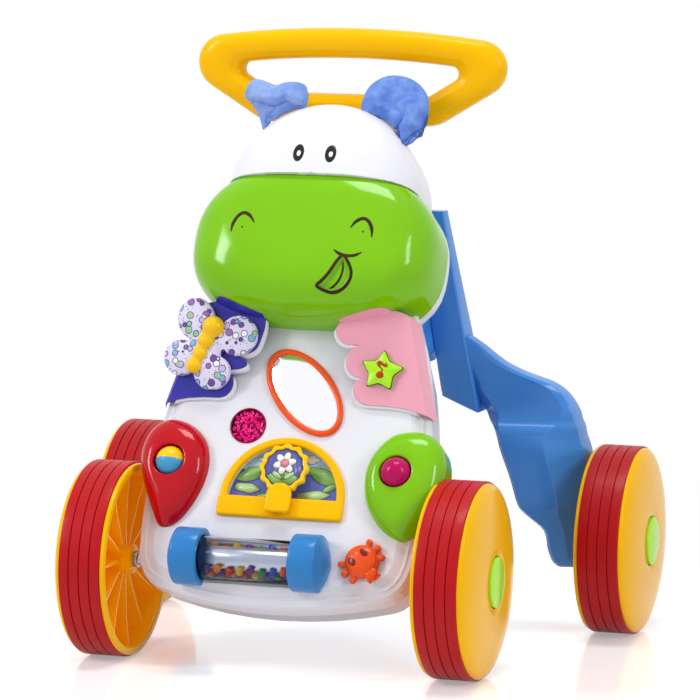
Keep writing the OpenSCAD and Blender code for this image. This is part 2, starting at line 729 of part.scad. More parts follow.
module beetle_switch() color([1, 0.42, 0.08]) on_panel() {
  translate([beetle_at[0], beetle_at[1], 0]) rotate(-48) {
    translate([0, 0, 1.4]) cylinder(r = 10.5, h = 2.4);
    intersection() {
      translate([0, 0, 3.6]) scale([1, 0.92, 0.5]) sphere(r = 10);
      translate([-20, -20, 3.6]) cube([40, 40, 20]);
    }
    translate([12, 0, 1.4]) cylinder(r = 5, h = 4.5);
    for (side = [-1, 1], k = [-1:1])
      rotate(side * (90 + k * 38)) {
        translate([9, -1.5, 1.4]) cube([6, 3, 2.2]);
        translate([15, 0, 1.4]) cylinder(r = 1.9, h = 2.2);
      }
    translate([0, 0, -8]) cylinder(r = 4, h = 9.5);
  }
}

// ---------- butterfly and ears ----------

bug_at = [-70.5, 183];
bug_turn = 68;
// Places the butterfly on the sloping sleeve, with z = 0 at the sleeve's skin
module at_bug() on_panel()
  translate([bug_at[0], bug_at[1], sleeve_h(bug_at[1])]) rotate([sleeve_slope, 0, 0]) children();

module butterfly_wings() color([0.75, 0.7, 0.88]) at_bug() {
  translate([0, 0, 0.5]) linear_extrude(4.4) {
    translate([-8.5, 21.5]) rotate(20) scale([1, 1.12]) circle(r = 14.2);
    translate([-17.5, -8.8]) circle(r = 13.4);
    translate([26, 10.2]) circle(r = 14.6);
    translate([7.6, -18.6]) scale([1.06, 1]) circle(r = 13.2);
    translate([3, 2]) circle(r = 13);
  }
}
module butterfly_body() color([1, 0.82, 0.05]) at_bug() {
  translate([0, 0, 5.2]) rotate(bug_turn) intersection() {
    union() {
      translate([16, 0, 2.4]) sphere(r = 7.4);
      translate([4.5, 0, 2.2]) sphere(r = 6.4);
      translate([-6, 0, 2]) sphere(r = 5.9);
      translate([-15.5, 0, 1.8]) sphere(r = 5.4);
    }
    translate([-30, -20, 0]) cube([60, 40, 20]);
  }
}

// An ear: a flat plush pad that leaves the head at the dome's rim
module ear(x, s, w, l, turn) on_panel() {
  translate([0, 0, 16]) linear_extrude(13) difference() {
    translate([x, s]) rotate(turn) scale([1, l / w]) circle(r = w / 2);
    scale([1, (dome_b + 0.4) / (dome_a + 0.4)]) translate([0, split_s * (dome_a + 0.4) / (dome_b + 0.4)])
      circle(r = dome_a + 0.4);
  }
}
module left_ear() color([0.42, 0.56, 0.88]) ear(-42, 366, 44, 36, 12);
module right_ear() color([0.36, 0.5, 0.86]) ear(46, 367, 48, 50, -14);

// ---------- handle ----------

// The handle stands upright above the head, so it is drawn in a vertical plane:
// x across, y up from the lower bar's centre. Its opening is a trapezium with small corners, and
// its outline is the same trapezium with large ones.
corner_r = 20.5;                    // outer radius of an upper corner
fillet_r = 5.5;                     // inner radius of an upper corner
foot_r = 26.5;                      // outer radius of a lower corner
foot_c = [58.6, foot_r - bar_w / 2];
arch_r = 4900 / bar_arch;
top_c = [0, handle_rise - arch_r];
corner_x = handle_w / 2 - corner_r;
corner_c = [corner_x, top_c[1] + sqrt(pow(arch_r + bar_w / 2 - corner_r, 2) - corner_x * corner_x)];
side_run = corner_c - foot_c;
side_a = atan2(side_run[1], side_run[0]) + asin((foot_r - corner_r) / norm(side_run));
side_n = [sin(side_a), -cos(side_a)];
// centre of the fillet: at its radius from the side's inner line and from the arch's inner line
fillet_gap = side_n * foot_c + foot_r - bar_w - fillet_r - side_n * top_c;
fillet_c = top_c + fillet_gap * side_n + sqrt(pow(arch_r - bar_w / 2 - fillet_r, 2)
  - fillet_gap * fillet_gap) * [cos(side_a), sin(side_a)];
corner_a = atan2(corner_c[1] - top_c[1], corner_x);
fillet_a = atan2(fillet_c[1] - top_c[1], fillet_c[0]);
function around(c, r, a) = c + r * [cos(a), sin(a)];

// The loop's right half, as pairs of a point on the opening's edge and a point on the outline
handle_half = concat([for (x = [0, 35]) [[x, bar_w / 2], [x, -bar_w / 2]]],
  [for (i = [0:4]) let (a = -90 + side_a * i / 4)
    [around(foot_c, foot_r - bar_w, a), around(foot_c, foot_r, a)]],
  [for (i = [0:8]) let (a = side_a - 90)
    [around(fillet_c, fillet_r, a + (fillet_a - a) * i / 8),
      around(corner_c, corner_r, a + (corner_a - a) * i / 8)]],
  [for (i = [1:4]) [around(top_c, arch_r - bar_w / 2, fillet_a + (90 - fillet_a) * i / 4),
    around(top_c, arch_r + bar_w / 2, corner_a + (90 - corner_a) * i / 4)]]);
function flip(q) = [-q[0], q[1]];
handle_loop = concat(handle_half, [for (i = [len(handle_half) - 2:-1:1])
  [flip(handle_half[i][0]), flip(handle_half[i][1])]]);
bar_section = [for (i = [0:15]) let (a = i * 22.5)
  [0.5 + spow(cos(a), 0.8) / 2, -bar_d / 2 * spow(sin(a), 0.8)]];

module handle() color(yellow) on_panel() {
  translate([0, handle_low, handle_h]) rotate([panel_lean, 0, 0])
    loop_bar([for (p = handle_loop) [for (q = bar_section)
      let (e = p[0] + q[0] * (p[1] - p[0])) [e[0], e[1], q[1]]]]);
  for (side = [-1, 1])
    translate([side * peg_x, peg_end, handle_h]) rotate([-90, 0, 0])
      cylinder(r = peg_r, h = handle_low - peg_end);
}

// ---------- side frames ----------

front_lean = tan(27.1);
// Front face of an upright at the height z above the axles
function upright_front(z) = 120 + (upright_top - z) * front_lean;
function upright_depth(z) = 12 + 18 * (upright_top - z) / 148;
// A section of the leg: inner and outer x, front y at both sides and back y
function leg_ring(z, xi, xo, yi, yo, yb) = let (c = min(5, (xo - xi) / 4))
  at_z([[xi, yb], [xi, yi + c], [xi + c, yi], [xo - c, yo], [xo, yo + c], [xo, yb]], z);
// The space inside that section, open at the back
function leg_core(z, xi, xo, yi, yo, yb) = let (w = frame_wall)
  leg_ring(z, xi + w, xo - w, yi + w, yo + w, yb + 9);
function at_z(p, z) = [for (q = p) [q[0], q[1], z]];

leg_gap = 5.6;                      // from the leg to the tyre's inner side
leg_out = rear_in - leg_gap;
peg_z = 150;                        // height of the hub's pegs above the axles
function peg_y() = upright_front(peg_z) + upright_depth(peg_z) / 2;

module side_frame(side) color(blue) from_front_axle() mirror([side < 0 ? 1 : 0, 0, 0]) {
  ry = wheelbase;
  foot = [[-22, 142, leg_out - 8, -11, -7, 10], [-18, 139, leg_out - 3, -16, -12, 14],
    [-8, 136.5, leg_out, -20, -15, 18], [6, 134, leg_out, -23, -16, 20],
    [17, 121, leg_out, -27, -16, 20], [25, 114.5, leg_out, -30, -16, 20],
    [44, 109, leg_out - 2, -32, -17, 18], [65, 102, leg_out - 5, -36, -18, 14],
    [78, 96.5, leg_out - 8, -37, -19, 11], [92, 90, leg_out - 12, -36, -21, 7]];
  arm = [[102, 82, leg_out - 16, -35, -23, 3], [110, 75, leg_out - 21, -35, -26, -3],
    [117, 73, leg_out - 30, -35.5, -29, -9], [124, 73, leg_out - 48, -38, -34, -16],
    [132, 73, 104, -43, -40, -23], [144, 73, 91, -49, -46, -32], [152, 73, 82, -55, -53, -40]];
  difference() {
    union() {
      // the upright: an open channel
      difference() {
        rotate([90, 0, 90]) translate([0, 0, upright_in]) linear_extrude(upright_w)
          polygon(upright_side(100, upright_top, 0, 0));
        rotate([90, 0, 90]) translate([0, 0, upright_in + frame_wall])
          linear_extrude(upright_w - 2 * frame_wall)
            polygon(upright_side(90, upright_top - frame_wall, frame_wall, 12));
      }
      // the leg: a wider channel that grows out of it
      difference() {
        loft([for (p = concat(foot, arm)) leg_ring(p[0], p[1], p[2], ry + p[3], ry + p[4], ry + p[5])]);
        loft([for (p = concat([for (i = [1:9]) foot[i]], [for (i = [0:4]) arm[i]]))
          leg_core(p[0] + 0.3, p[1], p[2], ry + p[3], ry + p[4], ry + p[5])]);
      }
      // the boss for the axle, the foot's floor, and ribs across the channels
      translate([0, wheelbase, 0]) rod_x(135, leg_out - 1, axle_d / 2 + 6);
      translate([144, ry - 10, -20.5]) cube([leg_out - 8 - 146, 18, 3]);
      for (z = [126, 176, 212])
        translate([upright_in + 1, upright_front(z) + 1.5, z])
          cube([upright_w - 2, upright_depth(z) - 5, 2]);
      for (z = [36, 56]) translate([112, ry - 14, z]) cube([leg_out - 118, 26, 2]);
    }
    translate([0, peg_y(), peg_z]) rod_x(upright_in - 1, upright_in + 8, hub_peg_r + 0.2);
    translate([0, wheelbase, 0]) rod_x(130, leg_out + 1, axle_d / 2 + 0.02);
  }
}
// Side view of an upright from the height z0 to z1, its front moved back by f and its back by b
function upright_side(z0, z1, f, b) = [
  [upright_front(z0) + f, z0], [upright_front(z0) + upright_depth(z0) + b, z0],
  [upright_front(z1) + upright_depth(z1) + b, z1], [upright_front(z1) + f, z1]];
module side_frame_left() side_frame(-1);
module side_frame_right() side_frame(1);

// Bridge between the body's back and the two uprights
module frame_hub() color([0.2, 0.42, 0.78]) {
  half = upright_in - seam;
  top = peg_z + 17;
  low = peg_z - 17;
  difference() {
    from_front_axle() {
      translate([-half, 0, 0]) rotate([90, 0, 90]) linear_extrude(2 * half)
        polygon([[60, low], [upright_front(low), low], [upright_front(low) + 14, low + 6],
          [upright_front(top) + 14, top], [60, top]]);
      translate([0, peg_y(), peg_z]) rod_x(-half - 12, half + 12, hub_peg_r);
    }
    // cut to the slope of the body's back
    on_panel() translate([-100, 0, body_back - 0.2]) cube([200, 400, 100]);
    // hollow from below
    from_front_axle() translate([-half + 4, 0, low - 1]) cube([2 * half - 8, peg_y() - 12, 30]);
  }
}

// ---------- wheels and axles ----------

// Everything on a wheel is revolved about x = the axle, with x = 0 at the tyre's inner side
// and x growing outwards
module wheel_place(side, y, inner) {
  translate([side * inner, y, wheel_r]) rotate([0, 0, side > 0 ? 0 : 180]) children();
}
seat_r = wheel_r - tyre_t;
face_x = tyre_w + face_rise;
cap_r = cap_d / 2;
dome_run = [for (i = [1:6]) let (a = 90 * i / 6)
  [cap_r + 1 + (seat_r + 1.5 - cap_r - 1) * cos(a), tyre_w + 2.5 + (face_rise - 2.5) * sin(a)]];

module rim() {
  difference() {
    rotate([0, 90, 0]) rotate_extrude($fn = 96) polygon(concat(
      [[seat_r - rim_wall, 0], [seat_r - rim_wall, -3], [seat_r + 2, -3], [seat_r + 2.6, -2.2],
        [seat_r + 2.6, -0.1], [seat_r, -0.1], [seat_r, tyre_w + 0.1], [seat_r + 2.6, tyre_w + 0.1],
        [seat_r + 1.5, tyre_w + 2.5]], dome_run,
      [[cap_r + 0.5, face_x - 4], [bore_r, face_x - 4], [bore_r, face_x - 6.5],
        [cap_r + 4, face_x - 6.5]],
      [for (i = [3:-1:0]) dome_run[i] - [rim_wall * 0.8, rim_wall]],
      [[seat_r - rim_wall, tyre_w]]));
  }
  // hub and ribs
  rotate([0, 90, 0]) rotate_extrude() polygon([[bore_r, -1], [10, -1], [11, 0], [11, face_x - 5.5],
    [bore_r, face_x - 5.5]]);
  for (i = [0:rib_count - 1]) rotate([i * 360 / rib_count, 0, 0]) rotate([90, 0, 0])
    translate([0, 0, -1]) linear_extrude(2) polygon([[3, 10], [2, seat_r - 1], [tyre_w, seat_r - 1],
      [tyre_w + 2, seat_r * 0.8], [face_x - 5.5, seat_r * 0.5], [face_x - 5.5, 10]]);
}

module tyre() {
  groove = 0.7;
  pitch = tyre_w / 4;
  rotate([0, 90, 0]) rotate_extrude($fn = 96) polygon(concat(
    [[seat_r, 0]], [[wheel_r - 1, 0], [wheel_r, 0.8]],
    [for (i = [1:3]) each [[wheel_r, i * pitch - groove], [wheel_r - 1, i * pitch],
      [wheel_r, i * pitch + groove]]],
    [[wheel_r, tyre_w - 0.8], [wheel_r - 1, tyre_w], [seat_r, tyre_w]]));
}

module cap() {
  rotate([0, 90, 0]) rotate_extrude() polygon(concat(
    [[0, face_x - 2], [cap_r - 4, face_x - 2], [cap_r - 4, face_x - 3.8], [cap_r, face_x - 3.8]],
    [[cap_r, face_x]], [for (a = [30:30:90]) [cap_r * cos(a), face_x + 2.5 * sin(a)]]));
}

module wheel_at(side, front) wheel_place(side, front ? -wheelbase / 2 : wheelbase / 2,
  front ? front_in : rear_in) children();

module front_left_rim() color(yellow) wheel_at(-1, true) rim();
module front_left_tyre() color(red) wheel_at(-1, true) tyre();
module front_left_cap() color([0.6, 0.95, 0.2]) wheel_at(-1, true) cap();
module front_right_rim() color(yellow) wheel_at(1, true) rim();
module front_right_tyre() color(red) wheel_at(1, true) tyre();
module front_right_cap() color([0.6, 0.95, 0.2]) wheel_at(1, true) cap();
module rear_left_rim() color(yellow) wheel_at(-1, false) rim();
module rear_left_tyre() color(red) wheel_at(-1, false) tyre();
module rear_left_cap() color([0.6, 0.95, 0.2]) wheel_at(-1, false) cap();
module rear_right_rim() color(yellow) wheel_at(1, false) rim();
module rear_right_tyre() color(red) wheel_at(1, false) tyre();
module rear_right_cap() color([0.6, 0.95, 0.2]) wheel_at(1, false) cap();

nut_x = face_x - 4 + 0.3;
module front_axle() color(steel) from_front_axle() {
  rod_x(-front_in - nut_x - 1.2, front_in + nut_x + 1.2, axle_d / 2);
  for (side = [-1, 1]) translate([side > 0 ? front_in - 4.6 : -front_in + 1.4, 0, 0])
    rod_x(0, 3.2, axle_d / 2 + 2);
}
module rear_axles() color(steel) from_front_axle() for (side = [-1, 1])
  mirror([side < 0 ? 1 : 0, 0, 0]) translate([0, wheelbase, 0]) {
    rod_x(138.5, rear_in + nut_x + 1.2, axle_d / 2);
    rod_x(leg_out + 0.3, rear_in - 1.4, axle_d / 2 + 2);
  }
module push_nut() rotate([0, 90, 0]) difference() {
  cylinder(r = 8, h = 0.9);
  translate([0, 0, -1]) cylinder(r = axle_d / 2 + 0.02, h = 3);
}
module axle_push_nuts() color(steel) for (front = [true, false], side = [-1, 1])
  wheel_at(side, front) translate([nut_x, 0, 0]) push_nut();

// ---------- what is drawn ----------

front_shell();
back_shell();
head_dome();
muzzle();
left_sleeve();
right_sleeve();
left_pod();
right_pod();
mirror_ring();
mirror_glass();  // mirror
gem_lens();
gem_crystals();
window_frame();
window_card();
medallion();
medallion_pin();
roller_bracket_left();
roller_bracket_right();
roller_shaft();
roller_tube();
roller_core();
roller_beads();
beetle_switch();
star_button();
star_note();
spin_ball_top();
spin_ball_bottom();
spin_ball_pin();
push_dome();
button_springs();
butterfly_wings();
butterfly_body();
left_ear();
right_ear();
frame_hub();
side_frame_left();
side_frame_right();
handle();
front_axle();
rear_axles();
axle_push_nuts();
battery_box();
battery_door();
batteries();
circuit_board();
speaker();
shell_screws();
front_left_rim();
front_left_tyre();
front_left_cap();
front_right_rim();
front_right_tyre();
front_right_cap();
rear_left_rim();
rear_left_tyre();
rear_left_cap();
rear_right_rim();
rear_right_tyre();
rear_right_cap();
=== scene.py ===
# %% [markdown]
# # A baby walker, finished over its CAD frame
# The walker is a moulded play panel that leans back, with an animal's head on top, two splayed
# legs behind it, a loop handle and four wide wheels. Its bodies and joints come from the CAD
# frame. Each cell below adds the form or the finish of one piece, and says why it is made so.

# %% Load the CAD frame
import json
import math
import bmesh
import bpy
from mathutils import Matrix, Vector


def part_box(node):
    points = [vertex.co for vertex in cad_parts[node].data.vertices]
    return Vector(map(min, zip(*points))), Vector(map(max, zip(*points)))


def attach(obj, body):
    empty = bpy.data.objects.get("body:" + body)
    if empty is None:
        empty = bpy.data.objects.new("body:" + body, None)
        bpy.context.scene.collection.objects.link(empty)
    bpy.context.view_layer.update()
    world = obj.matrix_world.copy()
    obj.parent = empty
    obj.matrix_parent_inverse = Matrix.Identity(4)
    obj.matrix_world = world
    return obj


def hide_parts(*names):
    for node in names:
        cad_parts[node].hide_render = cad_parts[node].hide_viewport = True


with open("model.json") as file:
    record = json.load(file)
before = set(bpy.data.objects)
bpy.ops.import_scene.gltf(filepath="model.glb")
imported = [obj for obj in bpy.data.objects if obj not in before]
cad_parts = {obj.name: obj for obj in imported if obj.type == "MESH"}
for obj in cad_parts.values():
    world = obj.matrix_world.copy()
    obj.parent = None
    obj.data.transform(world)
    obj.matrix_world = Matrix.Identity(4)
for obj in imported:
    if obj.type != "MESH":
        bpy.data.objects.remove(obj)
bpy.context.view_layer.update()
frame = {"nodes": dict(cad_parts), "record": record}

nodes = frame["nodes"]
body_of_node = {n: b for b, ns in frame["record"]["behaviour"]["bodies"].items() for n in ns}
slot_of_node = {s["node"]: s["material_slot"] for s in frame["record"]["subparts"]}

# %% [markdown]
# ## Camera, floor and light
# The camera stands low and a little to the right, far away with a long lens, so the wheels look
# nearly round and the panel shows its whole face. The floor is a glossy white studio sheet: it
# keeps the soft shadow and a faint reflection of the wheels. Big soft lamps give the long, broad
# highlights that glossy moulded plastic has in a studio.

# %% Camera
azimuth, elevation, roll = (math.radians(a) for a in (17.45, 6.33, 0.79))
back = Vector((math.sin(azimuth) * math.cos(elevation),
               -math.cos(azimuth) * math.cos(elevation), math.sin(elevation)))
right = Vector((math.cos(azimuth), math.sin(azimuth), 0))
up = back.cross(right)
eye = Vector((0.93959, -2.95670, 0.55863))
cam_x = right * math.cos(roll) + up * math.sin(roll)
cam_y = up * math.cos(roll) - right * math.sin(roll)
camera = bpy.data.objects.new("camera", bpy.data.cameras.new("camera"))
camera.data.sensor_width = 36
camera.data.lens = 220.15
camera.data.clip_start, camera.data.clip_end = 0.05, 60
camera.matrix_world = Matrix((
    (cam_x.x, cam_y.x, back.x, eye.x), (cam_x.y, cam_y.y, back.y, eye.y),
    (cam_x.z, cam_y.z, back.z, eye.z), (0, 0, 0, 1)))
bpy.context.scene.collection.objects.link(camera)
bpy.context.scene.camera = camera
bpy.context.scene.view_settings.view_transform = "Standard"
print("camera at", tuple(eye))

# %% Floor
def tree_of(material):
    material.use_nodes = True
    tree = material.node_tree
    tree.nodes.clear()
    return tree, tree.nodes.new("ShaderNodeOutputMaterial")


def add(tree, kind, **values):
    """A shader node; values name inputs (_ for a space) or settings, and (node, output) is a link."""
    node = tree.nodes.new("ShaderNode" + kind)
    for key, value in values.items():
        socket = node.inputs.get(key.replace("_", " "))
        if isinstance(value, tuple) and isinstance(value[0], bpy.types.Node):
            join(*value, node, socket.name)
        elif socket is not None:
            socket.default_value = value
        else:
            setattr(node, key, value)
    return node


def join(a, output, b, socket):
    """Links an output of one node to an input of another."""
    a.id_data.links.new(a.outputs[output], b.inputs[socket])


def background_rays(tree):
    """1 for camera, glossy and transmission rays, which see the background, and 0 for the rest."""
    path = add(tree, "LightPath")
    direct = add(tree, "Math", operation="MAXIMUM")
    join(path, "Is Camera Ray", direct, 0)
    join(path, "Is Glossy Ray", direct, 1)
    every = add(tree, "Math", operation="MAXIMUM")
    join(direct, 0, every, 0)
    join(path, "Is Transmission Ray", every, 1)
    return every


floor_finish = bpy.data.materials.new("studio_floor")
tree, out = tree_of(floor_finish)
sheet_white = add(tree, "BsdfPrincipled", Roughness=0.1, Base_Color=(0.86, 0.86, 0.87, 1), IOR=1.34)
glow = add(tree, "Emission")
through = background_rays(tree)
shown = add(tree, "Math", operation="MULTIPLY")
shown.inputs[1].default_value = 0.32
join(through, 0, shown, 0)
join(shown, 0, glow, "Strength")
both = add(tree, "AddShader")
join(sheet_white, 0, both, 0)
join(glow, 0, both, 1)
far = add(tree, "Emission", Strength=1.0)
place = add(tree, "TexCoord")
reach = add(tree, "VectorMath", operation="LENGTH")
join(place, "Object", reach, 0)
fade = add(tree, "MapRange", interpolation_type="SMOOTHSTEP", From_Min=0.26, From_Max=0.5,
           Value=(reach, "Value"))
fade_seen = add(tree, "Math", operation="MULTIPLY")
join(fade, "Result", fade_seen, 0)
join(through, 0, fade_seen, 1)
sheet = add(tree, "MixShader")
join(fade_seen, 0, sheet, 0)
join(both, 0, sheet, 1)
join(far, 0, sheet, 2)
join(sheet, 0, out, 0)
floor_mesh = bpy.data.meshes.new("floor")
floor_mesh.from_pydata([(-9, -9, 0), (9, -9, 0), (9, 9, 0), (-9, 9, 0)], [], [(0, 1, 2, 3)])
floor = bpy.data.objects.new("floor", floor_mesh)
floor_mesh.materials.append(floor_finish)
bpy.context.scene.collection.objects.link(floor)

# %% World and lamps
world = bpy.data.worlds.new("studio")
bpy.context.scene.world = world
world.use_nodes = True
tree = world.node_tree
tree.nodes.clear()
out = tree.nodes.new("ShaderNodeOutputWorld")
ambient = add(tree, "Background", Color=(1, 1, 1, 1), Strength=0.42)
backdrop = add(tree, "Background", Color=(1, 1, 1, 1), Strength=1.0)
mix = add(tree, "MixShader")
join(background_rays(tree), 0, mix, 0)
join(ambient, 0, mix, 1)
join(backdrop, 0, mix, 2)
join(mix, 0, out, 0)


def softbox(name, place, target, width, height, watts):
    """A large area lamp that faces a point."""
    lamp = bpy.data.lights.new(name, "AREA")
    lamp.shape = "RECTANGLE"
    lamp.size, lamp.size_y, lamp.energy = width, height, watts
    obj = bpy.data.objects.new(name, lamp)
    obj.location = place
    obj.rotation_mode = "QUATERNION"
    obj.rotation_quaternion = (Vector(target) - Vector(place)).to_track_quat("-Z", "Y")
    bpy.context.scene.collection.objects.link(obj)
    return obj


softbox("lamp_left", (-1.9, -1.5, 1.5), (0, 0, 0.22), 0.5, 1.0, 27)
softbox("lamp_right", (2.1, -1.0, 1.3), (0, 0, 0.22), 0.4, 1.0, 16)
softbox("lamp_top", (0.1, -0.2, 2.3), (0, 0, 0.2), 1.0, 0.6, 22)

# %% [markdown]
# ## Finishes
# Nearly everything is glossy injection-moulded ABS. Real mouldings are never one flat colour:
# the surface has a faint orange peel, the gloss varies with handling, and the colour drifts a
# little with wall thickness. Each finish therefore has a slow colour noise, a fine roughness
# noise and a shallow bump, all on Object coordinates so that they stay put on the piece.

# %% Moulded plastic
def srgb(red, green, blue):
    """A screen colour, 0 to 255, as a linear one."""
    def line(c):
        c /= 255
        return c / 12.92 if c <= 0.04045 else ((c + 0.055) / 1.055) ** 2.4
    return (line(red), line(green), line(blue), 1)


def shade(colour, factor):
    """A colour made lighter or darker."""
    return tuple(min(1, c * factor) for c in colour[:3]) + (1,)


def tones(tree, *stops, interpolation="LINEAR"):
    """A colour ramp from (place, colour) stops."""
    ramp = add(tree, "ValToRGB")
    ramp.color_ramp.interpolation = interpolation
    while len(ramp.color_ramp.elements) < len(stops):
        ramp.color_ramp.elements.new(0.5)
    for element, (at, colour) in zip(ramp.color_ramp.elements, stops):
        element.position, element.color = at, colour
    return ramp


def plastic(name, colour, rough=0.17, coat=0.0, drift=0.05, peel=0.06, grain=420, **sockets):
    """Moulded plastic: a slow drift of colour, uneven gloss and a shallow orange peel."""
    material = bpy.data.materials.new(name)
    tree, out = tree_of(material)
    settings = {"Coat_Weight": coat, "Coat_Roughness": 0.06, "Specular_IOR_Level": 0.26, **sockets}
    skin = add(tree, "BsdfPrincipled", **settings)
    place = add(tree, "TexCoord")
    slow = add(tree, "TexNoise", Scale=14, Detail=2, Roughness=0.5)
    fine = add(tree, "TexNoise", Scale=grain, Detail=3, Roughness=0.6)
    for texture in (slow, fine):
        join(place, "Object", texture, "Vector")
    ramp = tones(tree, (0.3, shade(colour, 1 - drift)), (0.7, shade(colour, 1 + drift)))
    join(slow, "Fac", ramp, "Fac")
    join(ramp, "Color", skin, "Base Color")
    gloss = add(tree, "MapRange", To_Min=rough * 0.85, To_Max=rough * 1.3, Value=(fine, "Fac"))
    join(gloss, "Result", skin, "Roughness")
    bump = add(tree, "Bump", Strength=peel, Distance=0.0004, Height=(fine, "Fac"))
    join(bump, "Normal", skin, "Normal")
    join(skin, 0, out, 0)
    return material


finish = {
    "white_plastic": plastic("white_abs", srgb(232, 232, 240), drift=0.012),
    "green_plastic": plastic("green_abs", srgb(124, 194, 0), rough=0.1),
    "indigo_plastic": plastic("indigo_abs", srgb(58, 54, 168)),
    "pink_plastic": plastic("pink_abs", srgb(240, 166, 186), drift=0.02),
    "red_plastic": plastic("red_abs", srgb(188, 0, 22), rough=0.1),
    "orange_plastic": plastic("orange_abs", srgb(240, 84, 16)),
    "yellow_plastic": plastic("amber_abs", srgb(255, 190, 0), drift=0.03, Specular_IOR_Level=0.12),
    "blue_plastic": plastic("blue_abs", srgb(66, 142, 226), Specular_IOR_Level=0.3),
    "sky_plastic": plastic("sky_abs", srgb(70, 160, 215)),
    "lemon_plastic": plastic("lemon_abs", srgb(255, 200, 10)),
    "magenta_plastic": plastic("magenta_abs", srgb(192, 0, 96), Specular_IOR_Level=0.18),
    "lime_plastic": plastic("lime_abs", srgb(176, 240, 36)),
    "silver_plastic": plastic("silver_foil", srgb(205, 208, 214), rough=0.2, Metallic=0.9),
    "bead_mix": plastic("bead_abs", srgb(240, 130, 50)),
    "black_plastic": plastic("black_abs", srgb(52, 52, 56), rough=0.5, coat=0),
    "tyre_red": plastic("tyre_pvc", srgb(184, 8, 18), rough=0.42, coat=0.05, grain=260, peel=0.12,
                        Specular_IOR_Level=0.2),
    "steel": plastic("drawn_steel", srgb(180, 182, 186), rough=0.32, coat=0, Metallic=1.0),
    "card": plastic("card", srgb(80, 96, 190), rough=0.45, coat=0.6),
    "plush_blue": plastic("plush", srgb(108, 146, 226), rough=0.9, coat=0, grain=700, peel=0.6),
    "print_fabric": plastic("printed_satin", srgb(196, 180, 226), rough=0.6, coat=0),
    "board": plastic("circuit_laminate", srgb(24, 110, 52), rough=0.45),
    "battery": plastic("cell_wrapper", srgb(190, 150, 52), rough=0.35, Metallic=0.5),
    "mirror": plastic("mirror_sheet", srgb(250, 250, 252), rough=0.07, coat=0, peel=0.0, drift=0.004,
                      Metallic=1.0),
    "clear_plastic": plastic("clear_styrene", srgb(240, 246, 250), rough=0.05, coat=0, drift=0.01,
                             Transmission_Weight=1.0, IOR=1.2),
    "pink_clear": plastic("pink_styrene", srgb(228, 60, 130), rough=0.06, coat=0, drift=0.02,
                          Transmission_Weight=0.85, IOR=1.3),
}
print("finishes:", len(finish))

# %% [markdown]
# ## Mouldings from the CAD solids
# A CAD node arrives as loose triangles with knife edges. A moulded piece has small radii that
# catch the light, so a copy of each rigid node is welded, its flat areas are joined, its sharp
# edges get a fine bevel, and its curved areas are shaded smooth.

# %% Copy, weld and soften a node
WELD, EDGE_RADIUS = 0.00002, 0.0005


def moulding(node, smooth=38, reshape=None):
    """A finished copy of one CAD node, with rounded edges; reshape may add form first."""
    mesh = bpy.data.meshes.new(node + "_skin")
    shape = bmesh.new()
    shape.from_mesh(nodes[node].data)
    bmesh.ops.remove_doubles(shape, verts=shape.verts, dist=WELD)
    bmesh.ops.dissolve_limit(shape, angle_limit=math.radians(0.6), verts=shape.verts,
                             edges=shape.edges)
    if reshape:
        reshape(shape)
    shape.to_mesh(mesh)
    shape.free()
    obj = bpy.data.objects.new(node + "_skin", mesh)
    bpy.context.scene.collection.objects.link(obj)
    bevel = obj.modifiers.new("soft_edge", "BEVEL")
    bevel.width, bevel.segments, bevel.limit_method = EDGE_RADIUS, 2, "ANGLE"
    bevel.angle_limit = math.radians(smooth)
    bevel.harden_normals = False
    settle(obj)
    obj.data.shade_smooth()
    return sharp(obj, smooth)


def settle(obj):
    """Applies an object's modifiers to its mesh."""
    bpy.context.view_layer.update()
    result = bpy.data.meshes.new_from_object(obj.evaluated_get(bpy.context.evaluated_depsgraph_get()))
    obj.modifiers.clear()
    obj.data = result
    return obj


def fit(obj, node, material=None):
    """The piece stands for a CAD node: it rides on its body and takes its finish."""
    paint(obj, material or finish[slot_of_node[node]])
    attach(obj, body_of_node[node])
    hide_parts(node)
    fitted.add(node)
    return obj


def paint(obj, material):
    obj.data.materials.clear()
    obj.data.materials.append(material)


fitted = set()

# %% [markdown]
# ## The panel's own directions
# Everything on the face is laid out on the leaning panel: x across, s up the slope from its lower
# edge, and h out of the face, in millimetres. One helper turns such a place into the frame's
# metres, so that a piece lands where the CAD has it.

# %% Panel coordinates
def turns(count):
    """Angles round a full circle, in equal steps."""
    return [2 * math.pi * k / count for k in range(count)]


LEAN = math.radians(90 - 27.1)
AXLE_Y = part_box("front_left_rim")[0].y + (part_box("front_left_rim")[1].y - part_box("front_left_rim")[0].y) / 2


def panel(x, s, h):
    """A place on the leaning panel, in millimetres, as a point in metres."""
    y, z = s - 36.5, h + 34.1
    return Vector((x, AXLE_Y * 1000 + y * math.cos(LEAN) - z * math.sin(LEAN),
                   70 + y * math.sin(LEAN) + z * math.cos(LEAN))) / 1000


def disc_rows(centre, levels, steps=72):
    """Rings about a place on the panel; levels are (radius, height)."""
    return [[panel(centre[0] + r * math.cos(t), centre[1] + r * math.sin(t), h) for t in turns(steps)]
            for r, h in levels]


def panel_way(x, s, h):
    """A direction on the panel."""
    return (panel(x, s, h) - panel(0, 0, 0)).normalized()


